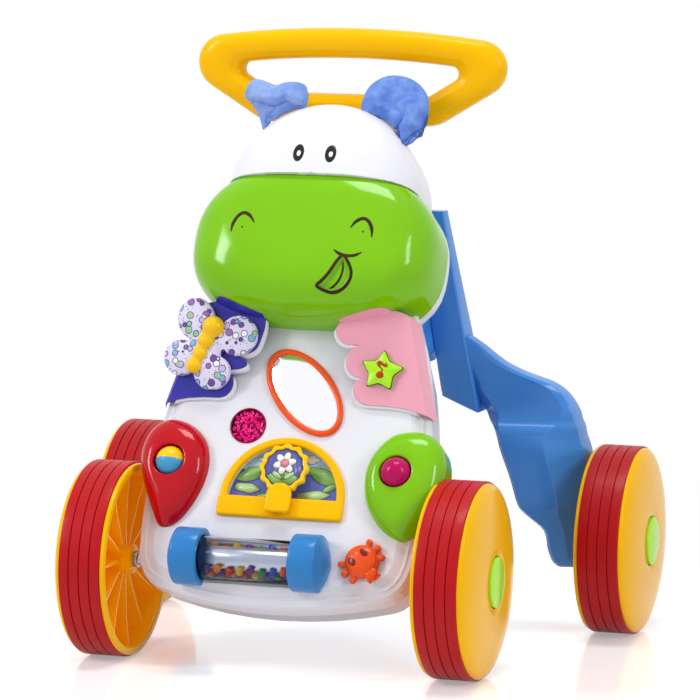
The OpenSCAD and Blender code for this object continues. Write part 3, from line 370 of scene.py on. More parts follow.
def skin(name, rows, round_row=True, ends=(False, False)):
    """A surface through rows of points; each row closes on itself, and an end may be capped."""
    shape = bmesh.new()
    grid = [[shape.verts.new(p) for p in row] for row in rows]
    n = len(rows[0])
    for low, high in zip(grid, grid[1:]):
        for i in range(n if round_row else n - 1):
            j = (i + 1) % n
            shape.faces.new((low[i], low[j], high[j], high[i]))
    if ends[0]:
        shape.faces.new(list(reversed(grid[0])))
    if ends[1]:
        shape.faces.new(grid[-1])
    bmesh.ops.remove_doubles(shape, verts=shape.verts, dist=1e-7)
    bmesh.ops.recalc_face_normals(shape, faces=shape.faces)
    mesh = bpy.data.meshes.new(name)
    shape.to_mesh(mesh)
    shape.free()
    obj = bpy.data.objects.new(name, mesh)
    bpy.context.scene.collection.objects.link(obj)
    obj.data.shade_smooth()
    return obj


def solid(name, rows):
    """A surface whose two end rows are both capped."""
    return skin(name, rows, ends=(True, True))


def sharp(obj, degrees):
    obj.data.set_sharp_from_angle(angle=math.radians(degrees))
    return obj


print("panel face leans from", tuple(round(c, 4) for c in panel(0, 0, 0)), "to",
      tuple(round(c, 4) for c in panel(0, 226, 0)))

# %% [markdown]
# ## Muzzle
# The muzzle is a wide, softly squared cap. Its outline is a superellipse, a little flatter below
# than above, and its front is the same rule in depth, so two short formulas give a surface with
# no flat spots. It is cut straight where the white dome begins. The open mouth is pressed into
# the skin, which a fine enough grid can show as real depth.

# %% Muzzle surface
MUZZLE = dict(a=90.5, up=64, down=57, mid=261.7, top=305, rise=50.5, foot=-10.7)


def muzzle_share(x, s):
    """0 in the middle of the muzzle and 1 on its outline."""
    b, p = (MUZZLE["up"], 2.27) if s > MUZZLE["mid"] else (MUZZLE["down"], 2.7)
    return ((abs(x) / MUZZLE["a"]) ** p + (abs(s - MUZZLE["mid"]) / b) ** p) ** (1 / p)


def muzzle_height(x, s):
    """How far the muzzle's surface stands out of the panel."""
    r = min(1, muzzle_share(x, s))
    return MUZZLE["foot"] + (MUZZLE["rise"] - MUZZLE["foot"]) * (1 - r ** 4) ** 0.25


MOUTH_DEPTH, MOUTH_BANK = 2.6, 2.2
mouth = [(29.5, 239.5), (33.2, 243.6), (37.5, 239), (40.4, 233), (40.3, 227.6), (37.4, 222.6),
         (33, 219.2), (27.6, 217.6), (21.5, 218.6), (16.2, 221.2), (19.5, 224.6), (23.4, 229),
         (26.6, 234.2)]


def inside(x, s, loop):
    """How far a point lies inside a loop, negative outside."""
    hit, near = False, 1e9
    for (ax, ay), (bx, by) in zip(loop, loop[1:] + loop[:1]):
        if (ay > s) != (by > s) and x < (bx - ax) * (s - ay) / (by - ay) + ax:
            hit = not hit
        dx, dy = bx - ax, by - ay
        t = max(0, min(1, ((x - ax) * dx + (s - ay) * dy) / (dx * dx + dy * dy)))
        near = min(near, math.hypot(x - ax - t * dx, s - ay - t * dy))
    return near if hit else -near


def ease(t):
    """A soft step from 0 to 1."""
    t = max(0, min(1, t))
    return t * t * (3 - 2 * t)


def mouth_height(x, s):
    """The muzzle's surface with the mouth pressed in."""
    return muzzle_height(x, s) - MOUTH_DEPTH * ease(inside(x, s, mouth) / MOUTH_BANK)


def muzzle_skin():
    rings, around = 84, 280
    rows = []
    for k in range(rings + 1):
        r = math.sin(math.pi / 2 * (k + 0.35) / (rings + 0.35))
        row = []
        for turn in turns(around):
            c, q = math.cos(turn), math.sin(turn)
            b, p = (MUZZLE["up"], 2.27) if q > 0 else (MUZZLE["down"], 2.7)
            x = MUZZLE["a"] * r * math.copysign(abs(c) ** (2 / p), c)
            s = MUZZLE["mid"] + b * r * math.copysign(abs(q) ** (2 / p), q)
            s = min(s, MUZZLE["top"])
            height_of = mouth_height if 12 < x < 45 and 212 < s < 248 else muzzle_height
            row.append(panel(x, s, height_of(x, s)))
        rows.append(row)
    rows.append([p + panel_way(0, 0, -1) * 0.004 for p in rows[-1]])
    return skin("muzzle_skin", rows, ends=(True, False))


muzzle = muzzle_skin()
fit(sharp(muzzle, 50), "muzzle")
print("muzzle faces:", len(muzzle.data.polygons))

# %% [markdown]
# ## Dome of the head
# The crown is a round cap with a straight foot, so its wall runs up to a soft shoulder and over.
# It is a revolved profile, cut straight at the muzzle. The two ears leave it at the rim.

# %% Dome surface
DOME = dict(r=71, mid=301, foot=10, rise=51, cut=305.3)


def dome_height(x, s):
    q = min(1, math.hypot(x, s - DOME["mid"]) / DOME["r"])
    return DOME["foot"] + (DOME["rise"] - DOME["foot"]) * (1 - q ** 2.6) ** (1 / 2.6)


def dome_skin():
    rows, around = [], turns(160)
    for k in range(61):
        q = math.sin(math.pi / 2 * (k + 0.2) / 60.2)
        row = []
        for turn in around:
            x, s = DOME["r"] * q * math.cos(turn), DOME["mid"] + DOME["r"] * q * math.sin(turn)
            s = max(s, DOME["cut"])
            row.append(panel(x, s, dome_height(x, s)))
        rows.append(row)
    for h in (4, -2, -10.7):
        rows.append([panel(DOME["r"] * math.cos(t),
                           max(DOME["cut"], DOME["mid"] + DOME["r"] * math.sin(t)), h) for t in around])
    return skin("dome_skin", rows, ends=(True, False))


dome = dome_skin()
fit(sharp(dome, 50), "head_dome")

# %% [markdown]
# ## Inked lines and eyes
# The smile, the nostrils and the mouth's edge are printed in dark brown ink over the moulding.
# Each is a thin raised ribbon that follows the surface, wide in the middle and pointed at its
# ends, like a brush stroke. The eyes are printed ovals with a white pupil.

# %% Ink
ink = plastic("brown_ink", srgb(52, 26, 10), rough=0.5, coat=0.0, drift=0.02, Specular_IOR_Level=0.2)
black_ink = plastic("black_ink", srgb(12, 12, 14), rough=0.4, coat=0.0, drift=0.02, Specular_IOR_Level=0.25)
INK_LIFT = 0.25
white_ink = plastic("white_ink", srgb(246, 246, 250), rough=0.25, coat=0.4, drift=0.01)


def smooth_run(points, steps, closed=False):
    """A Catmull-Rom curve through points."""
    n = len(points)
    pick = (lambda i: points[i % n]) if closed else (lambda i: points[max(0, min(n - 1, i))])
    run = []
    for i in range(n if closed else n - 1):
        a, b, c, d = (Vector(pick(i + k)) for k in (-1, 0, 1, 2))
        for k in range(steps):
            t = k / steps
            run.append(0.5 * (2 * b + (c - a) * t + (2 * a - 5 * b + 4 * c - d) * t * t
                              + (3 * b - a - 3 * c + d) * t ** 3))
    return run if closed else run + [Vector(points[-1])]


def flat_run(points, steps, closed=False):
    """A smooth curve through (x, s) points."""
    return smooth_run([(*p, 0) for p in points], steps, closed)


def stroke(name, points, width, height_of, closed=False):
    """A ribbon of ink over a surface; its section is a low arch."""
    run = flat_run(points, 10, closed)
    rows = []
    for i, p in enumerate(run):
        before = run[i - 1] if closed or i else p
        after = run[(i + 1) % len(run)] if closed or i + 1 < len(run) else p
        way = (after - before).normalized()
        side = Vector((-way.y, way.x, 0))
        t = i / (len(run) - 1)
        w = width / 2 * (min(1, 0.25 + 3.5 * min(t, 1 - t)) if not closed else 1)
        row = []
        for u, v in ((-1, -0.5), (-1, 0.3), (-0.6, 0.85), (0, 1), (0.6, 0.85), (1, 0.3), (1, -0.5)):
            q = p + side * w * u
            row.append(panel(q.x, q.y, height_of(q.x, q.y) + INK_LIFT * v))
        rows.append(row)
    if closed:
        rows.append(rows[0])
    return skin(name, rows, round_row=True, ends=(not closed, not closed))


def dress(obj, material, body):
    """A piece that stands for no node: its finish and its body."""
    paint(obj, material)
    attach(obj, body)
    return obj


strokes = {
    "smile": ([(25.8, 247.4), (30.5, 244.6), (36, 243.4), (41.5, 244), (46.4, 246.6)], 2.3),
    "nostril_left": ([(-53, 258.4), (-52.6, 264.5), (-49.6, 270.6), (-45.4, 273.2),
                      (-40.6, 271.2), (-36.2, 265.6)], 2.6),
    "nostril_right": ([(35.6, 264.6), (39, 269.6), (43.7, 272.2), (48, 270.2), (51, 264.6),
                       (51.9, 258.4)], 2.6),
    "tongue_crease": ([(33, 240), (33.6, 234), (32, 227.4), (28, 222.4), (24.5, 220.6)], 1.6),
}
for name, (points, width) in strokes.items():
    dress(stroke(name, points, width, mouth_height), ink, "walker")
dress(stroke("mouth_edge", mouth, 2.2, muzzle_height, closed=True), ink, "walker")


def spot(name, centre, a, b, height_of, lift, material):
    """A printed oval that follows the surface."""
    rows = []
    for k in range(7):
        q = (k + 0.05) / 6.05
        drop = lift * (1 - ease((q - 0.85) / 0.15) * 1.4)
        rows.append([panel(centre[0] + a * q * math.cos(t), centre[1] + b * q * math.sin(t),
                           height_of(centre[0] + a * q * math.cos(t), centre[1] + b * q * math.sin(t))
                           + drop) for t in turns(40)])
    return dress(skin(name, rows, ends=(True, False)), material, "walker")


SIDES = ((-1, "left"), (1, "right"))
for side, label in SIDES:
    spot("eye_" + label, (side * 12, 320.7), 4.3, 7.3, dome_height, 0.25, black_ink)
    spot("pupil_" + label, (side * 12 + 0.3, 320.2), 1.7, 2.6, dome_height, 0.4, white_ink)
    spot("nostril_hole_" + label, (side * 45, 262.2), 0.8, 0.8, muzzle_height, 0.1, ink)
print("ink pieces:", len(strokes) + 7)

# %% [markdown]
# ## Sleeves
# Each sleeve is a coloured panel with three scallops, laid over the white body. Rows of points run
# from the scalloped edge, over the front, past a soft crease and down the side. Close to the head
# the sleeve laps over the muzzle, so its height is the greater of its own slope and the muzzle's
# surface. Its edge is rounded, and a white step a little larger than the sleeve lies under it.

# %% Sleeve surface
def between(table, at):
    """A value from a table of (place, value), straight between its entries."""
    table = sorted(table)
    if at <= table[0][0]:
        return table[0][1]
    for (a, u), (b, v) in zip(table, table[1:]):
        if at <= b:
            return u + (v - u) * (at - a) / (b - a)
    return table[-1][1]


def fine(table, steps):
    """The same table with a smooth curve's places between its entries."""
    return [(p.x, p.y) for p in flat_run(table, steps)]


def sleeve_slope(s):
    """The sleeve's height above the panel, away from the muzzle."""
    return 3.5 + (s - 147) * 0.2126


def sleeve_top(x, s):
    own = sleeve_slope(s)
    return max(own, muzzle_height(x, s) + 0.7) if s > 204 else own


SLEEVE = {
    "right_sleeve": dict(
        inner=[(206.3, 27.3), (202.1, 24.9), (198.1, 25.4), (193.5, 28.2), (190.2, 32.9),
               (188.9, 38.6), (188.1, 42.8), (186.6, 38.6), (184.6, 36.3), (179.3, 34.4),
               (173.5, 35.5), (169, 39.4), (167.3, 43), (166.4, 47.4), (165.2, 44.8),
               (163.4, 42.9), (158.7, 41.6), (153.6, 43.9), (150.3, 47.9), (149.1, 53.5)],
        top=[(24, 205.8), (27.3, 206.3), (37.7, 208.4), (47.2, 210.9), (56.5, 213.7),
             (63.7, 215.4), (69.6, 215.2), (77.3, 212.6), (84.5, 207.7), (90, 203)]),
    "left_sleeve": dict(
        inner=[(206.6, 28.2), (203.5, 28), (199, 28.3), (193.1, 29.6), (184.7, 32.5),
               (180.6, 37), (178.4, 41.6), (177.2, 46), (175.9, 42), (174.5, 39.7), (171.5, 39.2),
               (168.8, 43.6), (167.3, 49.6), (166, 54), (164.4, 49.8), (161.6, 48), (157.8, 47.8),
               (153.6, 49.4), (150.3, 53), (149.1, 58)],
        top=[(27, 206.6), (34.6, 208.2), (46.4, 211.6), (56, 215), (62, 216.4), (69.9, 215.8),
             (77.3, 212.6), (84.5, 207.7), (90, 203)]),
}
CUFF = [(40, 149.1), (53.5, 149.1), (68.8, 149), (81.1, 147.9), (93.5, 145), (106.7, 141.1)]
CREASE = [(147.5, 96.9), (163.4, 91.8), (178.8, 86.7), (194.8, 81.5), (210.2, 76.3), (220, 73)]


def sleeve_skin(name, side, grow=0.0, sink=0.0):
    """The sleeve's surface; a step under it is grown at its edges and sunk."""
    up, across = 150, 46
    shape = SLEEVE[name]
    inner = fine(shape["inner"], 6)
    top = fine(shape["top"], 5)
    low_s, high_s = 149.1, shape["inner"][0][0]
    rows = []
    for j in range(-2, up + 3):
        v = max(0, min(1, j / up))
        edge_v = {-2: 3.2, -1: 0.9, up + 1: 0.9, up + 2: 3.2}.get(j, 0)
        at = low_s + (high_s - low_s) * v
        x0 = between(inner, at) - grow
        x1 = between(CREASE, at)
        if grow:
            x1 -= 6
        row = []

        def put(x, drop):
            low, high = between(CUFF, x) - grow, between(top, x) - grow
            s = low + (high - low) * v
            row.append(panel(side * x, s, sleeve_top(x, s) - drop - edge_v - sink))

        put(x0, 3.4)
        put(x0, 1.3)
        put(x0 + 0.25, 0.55)
        put(x0 + 0.8, 0.12)
        for i in range(across):
            put(x0 + 1.5 + (x1 - x0 - 2.6) * i / (across - 1), 0)
        put(x1, 0.25)
        for out, drop in ((0.8, 1.2), (1.6, 3), (3, 7), (4.2, 12), (5.2, 18)):
            low, high = between(CUFF, x1) - grow, between(top, x1) - grow
            s = low + (high - low) * v
            h = max(-11, sleeve_top(x1, s) - drop) - edge_v * 0.3 - sink
            row.append(panel(side * (x1 + out * (1 if grow == 0 else 1.02)), s, h))
        rows.append(row)
    return skin(name + "_skin", rows, round_row=False)


for name, side in (("right_sleeve", 1), ("left_sleeve", -1)):
    obj = sleeve_skin(name, side)
    fit(sharp(obj, 60), name)
    step = sleeve_skin(name, side, grow=1.5, sink=1.3)
    step.name = name + "_step"
    dress(sharp(step, 60), finish["white_plastic"], "walker")
print("sleeves:", len(SLEEVE))

# %% [markdown]
# ## Star and its note
# The star is a button that sticks out of the sleeve. Its points are rounded, its face is slightly
# roofed from the middle to the points, and a brown line is printed round its edge. The orange note
# is a raised print.

# %% Star
SLOPE = math.radians(12)


def on_sleeve(x, s, h):
    """A place above the sleeve's slope, as panel coordinates."""
    return panel(x, s - math.sin(SLOPE) * h, sleeve_slope(s) + math.cos(SLOPE) * h)


STAR = [(63.5, 187.6), (68, 179.4), (78.8, 175.5), (71.1, 169.7), (70.2, 160.1), (61.2, 164.3),
        (52.3, 161.5), (53.2, 170.8), (47.5, 179.3), (57.9, 179.5)]


def rounded(points, share, steps=6):
    """A loop with its corners turned into short curves."""
    run = []
    n = len(points)
    for i in range(n):
        a, b, c = (Vector((*points[(i + k) % n], 0)) for k in (-1, 0, 1))
        start, end = b + (a - b) * share, b + (c - b) * share
        for k in range(steps + 1):
            t = k / steps
            run.append(start * (1 - t) ** 2 + b * 2 * t * (1 - t) + end * t * t)
    return run


def scaled_rows(loop, centre, place, levels):
    """Copies of a loop at each (size, height)."""
    return [[place(centre[0] + (p.x - centre[0]) * q, centre[1] + (p.y - centre[1]) * q, h)
             for p in loop] for q, h in levels]


def tablet(name, loop, centre, place, levels):
    """A flat body over a loop: levels are (size, height), from the outer foot to the middle."""
    return solid(name, scaled_rows(loop, centre, place, levels))


star_loop = rounded(STAR, 0.2)
mid = (63.2, 173.6)
star = tablet("star_skin", star_loop, mid, on_sleeve,
              [(1.0, -1.5), (1.0, 2.6), (0.975, 3.1), (0.93, 3.35), (0.6, 4.0), (0.3, 4.6), (0.03, 5.0)])
fit(sharp(star, 35), "star_button")
edge_rows = scaled_rows(star_loop, mid, on_sleeve,
                        ((1.035, 2.06), (1.035, 2.3), (1.01, 2.75), (0.985, 3.1), (0.97, 2.9)))
dress(skin("star_edge", edge_rows), ink, "star")
note_points = [(61.8, 171.0), (63.6, 173.2), (61.6, 175.4), (60.4, 177.4), (61.2, 178.6), (63, 177.6),
               (65, 176.6), (66.6, 177.2)]


def ribbon(name, points, widths, place, lift, height=0.35):
    """A raised ribbon on a flat face, with its own width at each point."""
    run = flat_run(points, 8)
    wide = smooth_run([(w, 0, 0) for w in widths], 8)
    rows = []
    for i, p in enumerate(run):
        way = (run[min(i + 1, len(run) - 1)] - run[max(0, i - 1)]).normalized()
        out = Vector((-way.y, way.x, 0)) * wide[i].x / 2
        rows.append([place(p.x + out.x * u, p.y + out.y * u, lift + height * v)
                     for u, v in ((-1, -1), (-1, 0.4), (-0.6, 1), (0.6, 1), (1, 0.4), (1, -1))])
    return solid(name, rows)


note_stem = ribbon("note_stem", note_points, (1.6, 1.4, 1.2, 2.2, 2.4, 1.8, 2.0, 3.0), on_sleeve, 4.75)
note_head = tablet("note_head", [Vector((62 + 2.9 * math.cos(a), 169.9 + 2.3 * math.sin(a), 0))
                                 for a in turns(30)], (62, 169.9),
                   on_sleeve, [(1, 3.6), (1, 4.75), (0.85, 5.0), (0.04, 5.1)])
note_brown = plastic("note_brown", srgb(178, 58, 12))
fit(note_head, "star_note", note_brown)
dress(note_stem, note_brown, "star")
print("star ready")

# %% [markdown]
# ## Wheels
# Everything on a wheel is turned about its axle, so a short list of radii and depths gives each
# piece. The rim has a domed outer face, a lip on the inner side and a deep dish between its ribs.
# The tyre has three fine grooves. The ribs repeat round the hub, so one rib is drawn and a
# geometry-nodes tree copies it.

# %% Turned pieces
REAR_Y, MID_Y, AXLE_H = 225.5, 112.75, 70.0
WHEELS = {"front_left": (-1, 114.9, -1), "front_right": (1, 114.9, -1),
          "rear_left": (-1, 172.1, 1), "rear_right": (1, 172.1, 1)}


def turned(name, profile, side, inner, y_side, steps=144, closed=True):
    """A solid of revolution about a wheel's axle from (radius, depth) pairs, in millimetres."""
    rows = [[Vector((side * (inner + x), y_side * MID_Y + r * math.cos(t), AXLE_H + r * math.sin(t))) / 1000
             for t in turns(steps)] for r, x in profile]
    if closed:
        rows.append(rows[0])
    return skin(name, rows)


def arc(centre, radii, start, end, steps):
    """Profile points on an ellipse between two angles, in degrees."""
    return [(centre[0] + radii[0] * math.cos(math.radians(start + (end - start) * k / steps)),
             centre[1] + radii[1] * math.sin(math.radians(start + (end - start) * k / steps)))
            for k in range(steps + 1)]


SEAT, TREAD, FACE, CAP = 66.0, 30.5, 40.0, 18.0
rim_profile = ([(62.4, 22), (63.2, 0), (63.4, -2.4), (64, -3), (67.6, -3), (68.4, -2.6), (68.7, -1.8),
                (68.7, -0.2), (66.1, -0.1), (66.1, 30.6), (68.7, 30.6), (68.7, 31.2)]
               + arc((19, 31.2), (49.6, 8.8), 3, 84, 22)
               + [(19.4, 40.0), (18.6, 39.4), (18.4, 36), (4, 36), (4, 33)]
               + arc((19, 28.4), (43.4, 7.0), 88, 4, 18))
tyre_profile = [(SEAT + 0.15, 0.1), (69.2, 0.1), (69.8, 0.4), (70.0, 1.1)]
for k in (1, 2, 3):
    g = TREAD / 4 * k
    tyre_profile += [(70.0, g - 0.5), (69.7, g - 0.35), (68.9, g - 0.22), (68.9, g + 0.22),
                     (69.7, g + 0.35), (70.0, g + 0.5)]
tyre_profile += [(70.0, 29.4), (69.8, 30.1), (69.2, 30.4), (SEAT + 0.15, 30.4)]
cap_profile = ([(0.05, FACE - 2), (CAP - 0.2, FACE - 2), (CAP - 0.2, FACE + 0.5)]
               + arc((CAP - 1.2, FACE + 0.5), (1.0, 1.0), 0, 90, 5)
               + [(CAP * 0.7, FACE + 1.9), (CAP * 0.35, FACE + 2.3), (0.05, FACE + 2.4)])
# The dish, its ribs and the hub glow faintly: painted light that lifts their amber above what the lamps give.
glowing_dish_amber = plastic("amber_dish", srgb(255, 176, 6), rough=0.3, drift=0.05,
                     Emission_Color=srgb(255, 180, 0), Emission_Strength=0.1)


# %% Ribs by geometry nodes
def node_tree(name, *inputs):
    """A geometry-nodes tree with its sockets; inputs are (name, type, value)."""
    tree = bpy.data.node_groups.new(name, "GeometryNodeTree")
    tree.interface.new_socket("Geometry", in_out="INPUT", socket_type="NodeSocketGeometry")
    for label, kind, value in inputs:
        socket = tree.interface.new_socket(label, in_out="INPUT", socket_type="NodeSocket" + kind)
        if value is not None:
            socket.default_value = value
    tree.interface.new_socket("Geometry", in_out="OUTPUT", socket_type="NodeSocketGeometry")
    make = tree.nodes.new
    return tree, make, make("NodeGroupInput"), make("NodeGroupOutput")


def round_copies(count, material):
    """A node tree that copies its input geometry round the x axis."""
    tree, make, entry, leave = node_tree("round_copies", ("Count", "Int", count))
    line = make("GeometryNodeMeshLine")
    line.inputs["Offset"].default_value = (0, 0, 0)
    index, step, turn, place = make("GeometryNodeInputIndex"), make("ShaderNodeMath"), \
        make("ShaderNodeMath"), make("ShaderNodeCombineXYZ")
    step.operation, turn.operation = "DIVIDE", "MULTIPLY"
    step.inputs[0].default_value = 2 * math.pi
    copies, real = make("GeometryNodeInstanceOnPoints"), make("GeometryNodeRealizeInstances")
    paint = make("GeometryNodeSetMaterial")
    paint.inputs["Material"].default_value = material
    join(entry, "Count", line, "Count")
    join(entry, "Count", step, 1)
    join(index, 0, turn, 0)
    join(step, 0, turn, 1)
    join(turn, 0, place, "X")
    join(line, "Mesh", copies, "Points")
    join(entry, "Geometry", copies, "Instance")
    join(place, "Vector", copies, "Rotation")
    join(copies, "Instances", real, "Geometry")
    join(real, "Geometry", paint, "Geometry")
    join(paint, "Geometry", leave, "Geometry")
    return tree


def rib_mesh(name):
    """One rib, a thin gusset from the hub to the lip, as (depth, radius) pairs."""
    sketch = [(36, 8), (5, 8), (5.4, 20), (4.6, 44), (3.2, 58), (2.6, 63), (27, 63), (31, 52), (34.2, 38),
              (36, 22)]
    rows = [[Vector((x, r, w)) / 1000 for x, r in sketch] for w in (-0.8, 0.8)]
    return solid(name, rows)


ribs_tree = round_copies(12, glowing_dish_amber)


def placed(obj, side, inner, y_side):
    """Moves a piece drawn about the x axis to a wheel, inside its mesh."""
    for v in obj.data.vertices:
        x, y, z = v.co
        v.co = Vector((side * (inner / 1000 + x), y_side * 0.11275 + y, 0.07 + z))
    if side < 0:
        obj.data.flip_normals()
    return obj


for wheel, (side, inner, y_side) in WHEELS.items():
    rim = turned(wheel + "_rim_skin", rim_profile, side, inner, y_side)
    fit(sharp(rim, 42), wheel + "_rim")
    # The dish faces take the faintly glowing amber, a painted light.
    rim.data.materials.append(glowing_dish_amber)
    for face in rim.data.polygons:
        depth = abs(face.center.x) * 1000 - inner
        radius = math.hypot(face.center.y * 1000 - y_side * MID_Y, face.center.z * 1000 - AXLE_H)
        if radius < 63.3 and depth < 35.5 and face.normal.x * side < 0.6:
            face.material_index = 1
    tyre = turned(wheel + "_tyre_skin", tyre_profile, side, inner, y_side)
    fit(sharp(tyre, 42), wheel + "_tyre")
    cap = turned(wheel + "_cap_skin", cap_profile, side, inner, y_side, closed=False)
    fit(sharp(cap, 42), wheel + "_cap")
    hub = turned(wheel + "_hub_skin", [(4.2, -1), (9.6, -1), (10.4, -0.4), (11, 10), (11.5, 34), (4.2, 34)],
                 side, inner, y_side, 64)
    dress(sharp(hub, 42), glowing_dish_amber, body_of_node[wheel + "_rim"])
    rib = rib_mesh(wheel + "_ribs")
    spread = rib.modifiers.new("round_copies", "NODES")
    spread.node_group = ribs_tree
    settle(rib)
    placed(rib, side, inner, y_side)
    dress(sharp(rib, 30), glowing_dish_amber, body_of_node[wheel + "_rim"])
print("wheels:", len(WHEELS), "rib faces:", len(rib.data.polygons))

# %% [markdown]
# ## Handle
# The handle is one blown bar bent into a trapezium. Its outline has large corners and its opening
# small ones, so the bar is wider at the corners; each section is drawn between a point on the
# opening and a point on the outline. The section is a soft oval with a fine groove near the
# opening, which catches a line of light all round.

# %% Handle surface
H = dict(width=235, rise=48, bar=22, depth=22, arch=6.6, corner=20.5, fillet=5.5, foot=26.5)
foot_c = Vector((58.6, H["foot"] - H["bar"] / 2))
arch_r = 4900 / H["arch"]
top_c = Vector((0, H["rise"] - arch_r))
corner_x = H["width"] / 2 - H["corner"]
corner_c = Vector((corner_x, top_c.y + math.sqrt((arch_r + H["bar"] / 2 - H["corner"]) ** 2 - corner_x ** 2)))
run = corner_c - foot_c
side_a = math.atan2(run.y, run.x) + math.asin((H["foot"] - H["corner"]) / run.length)
side_n = Vector((math.sin(side_a), -math.cos(side_a)))
gap = side_n.dot(foot_c) + H["foot"] - H["bar"] - H["fillet"] - side_n.dot(top_c)
fillet_c = top_c + gap * side_n + math.sqrt((arch_r - H["bar"] / 2 - H["fillet"]) ** 2 - gap ** 2) * Vector(
    (math.cos(side_a), math.sin(side_a)))
corner_a = math.atan2(corner_c.y - top_c.y, corner_c.x)
fillet_a = math.atan2(fillet_c.y - top_c.y, fillet_c.x)


def round_at(c, r, a):
    return c + r * Vector((math.cos(a), math.sin(a)))


pairs = [(Vector((x, H["bar"] / 2)), Vector((x, -H["bar"] / 2))) for x in range(0, 58, 8)]
pairs += [(round_at(foot_c, H["foot"] - H["bar"], a), round_at(foot_c, H["foot"], a))
          for a in (-math.pi / 2 + side_a * k / 10 for k in range(11))]
last = side_a - math.pi / 2
low_pair = pairs[-1]
high_pair = round_at(fillet_c, H["fillet"], last), round_at(corner_c, H["corner"], last)
pairs += [tuple(low_pair[n].lerp(high_pair[n], k / 6) for n in (0, 1)) for k in range(1, 6)]
pairs += [(round_at(fillet_c, H["fillet"], last + (fillet_a - last) * k / 24),
           round_at(corner_c, H["corner"], last + (corner_a - last) * k / 24)) for k in range(25)]
pairs += [(round_at(top_c, arch_r - H["bar"] / 2, fillet_a + (math.pi / 2 - fillet_a) * k / 16),
           round_at(top_c, arch_r + H["bar"] / 2, corner_a + (math.pi / 2 - corner_a) * k / 16))
          for k in range(1, 17)]
flip = lambda p: Vector((-p.x, p.y))
pairs += [(flip(a), flip(b)) for a, b in reversed(pairs[1:-1])]
section = []
for a in turns(56):
    u = math.copysign(abs(math.cos(a)) ** 0.8, math.cos(a))
    w = math.copysign(abs(math.sin(a)) ** 0.8, math.sin(a))
    groove = 0.55 * math.exp(-((u + 0.62) / 0.07) ** 2) if abs(w) > 0.3 else 0
    section.append(((0.5 + u / 2), w * (H["depth"] / 2 - groove)))
origin = panel(0, 384.2, -13.6)
rows = [[origin + Vector((q.x, -w, q.y)) / 1000 for q, w in
         ((a.lerp(b, u), w) for u, w in section)] for a, b in pairs]
rows.append(rows[0])
handle = skin("handle_skin", rows)
fit(sharp(handle, 60), "handle")
for side, label in SIDES:
    peg = skin("handle_peg_" + label,
               [[panel(side * 30 + 7.5 * math.cos(t), s, -13.6 + 7.5 * math.sin(t))
                 for t in turns(48)] for s in (342, 352, 362, 372, 380)],
               ends=(True, True))
    dress(sharp(peg, 60), finish[slot_of_node["handle"]], "walker")
print("handle sections:", len(pairs))

# %% [markdown]
# ## Pods
# A pod is a smooth drop shape that wraps the body's shoulder, round above and pointed below. Rows
# run from its outline to the round opening for the ball or the button, and rise like an ellipse.

# %% Pod surfaces
PODS = {
    "left_pod": dict(hole=(-84, 98), loop=[
        (-88, 131.5), (-74, 127.5), (-62.5, 117), (-57.4, 102), (-58.4, 86), (-64, 70), (-71.5, 57.6),
        (-79.5, 51.2), (-87, 51.6), (-92.5, 60), (-99.5, 74), (-105.5, 89), (-108.4, 104), (-106, 118),
        (-98.6, 128)]),
    "right_pod": dict(hole=(84, 98), loop=[
        (90, 131.7), (76, 128), (65.4, 116.5), (60.2, 103.5), (59.7, 90.5), (63.5, 76), (72.5, 62.5),
        (83, 54), (93.4, 51.2), (103.5, 60), (112, 77), (116, 94), (116.3, 108.7), (111.5, 122),
        (102, 129.8)]),
}
RIM_R, SHOULDER_H, POD_RISE, POD_AROUND = 12.2, -1.5, 14.3, 120


def loop_at(loop, centre, turn):
    """The point of a star-shaped loop in a given direction from its centre."""
    way = Vector((math.cos(turn), math.sin(turn)))
    best = 0
    for a, b in zip(loop, loop[1:] + loop[:1]):
        ax, ay, bx, by = a[0] - centre[0], a[1] - centre[1], b[0] - centre[0], b[1] - centre[1]
        dx, dy = bx - ax, by - ay
        det = way.x * dy - way.y * dx
        if abs(det) < 1e-9:
            continue
        t, k = (ax * dy - ay * dx) / det, (ax * way.y - ay * way.x) / det
        if t > 0 and -1e-6 <= k <= 1 + 1e-6:
            best = max(best, t)
    return Vector(centre) + way * best


for name, pod in PODS.items():
    smooth_loop = [(p.x, p.y) for p in flat_run(pod["loop"], 8, closed=True)]
    hole = pod["hole"]
    around = turns(POD_AROUND)
    edge = [loop_at(smooth_loop, hole, t) for t in around]
    rows = [[panel(p.x, p.y, h) for p in edge] for h in (-17, -8, SHOULDER_H)]
    for k in range(26):
        rise = math.pi / 2 * (k + 0.6) / 25.6
        row = []
        for t, p in zip(around, edge):
            rim_point = Vector((hole[0] + RIM_R * math.cos(t), hole[1] + RIM_R * math.sin(t)))
            place = rim_point.lerp(p, math.cos(rise) ** 0.9)
            row.append(panel(place.x, place.y, SHOULDER_H + POD_RISE * math.sin(rise) ** 0.92))
        rows.append(row)
    rows += disc_rows(hole, ((11.9, 12.6), (11.6, 12.1), (11.5, 11.2), (11.5, 4), (11.5, -2)), POD_AROUND)
    fit(sharp(skin(name + "_skin", rows), 60), name)
print("pods:", len(PODS))

# %% [markdown]
# ## Mirror, jewel and window
# The oval ring is a small tube pressed flat at its foot. The jewel is a shallow clear lens over a
# nest of pink crystals: each crystal is a short six-sided rod with a pointed end, and a geometry
# tree scatters turned copies of one rod over the nest. The window shows a card behind a yellow
# half-moon frame. The card and the medallion carry simple printed scenes of hills, clouds, a pond
# and a flower, made from flat shapes with a thin dark outline.

# %% Ring and mirror
MIRROR_AT, MIRROR_TURN = Vector((4.8, 157)), math.radians(133)


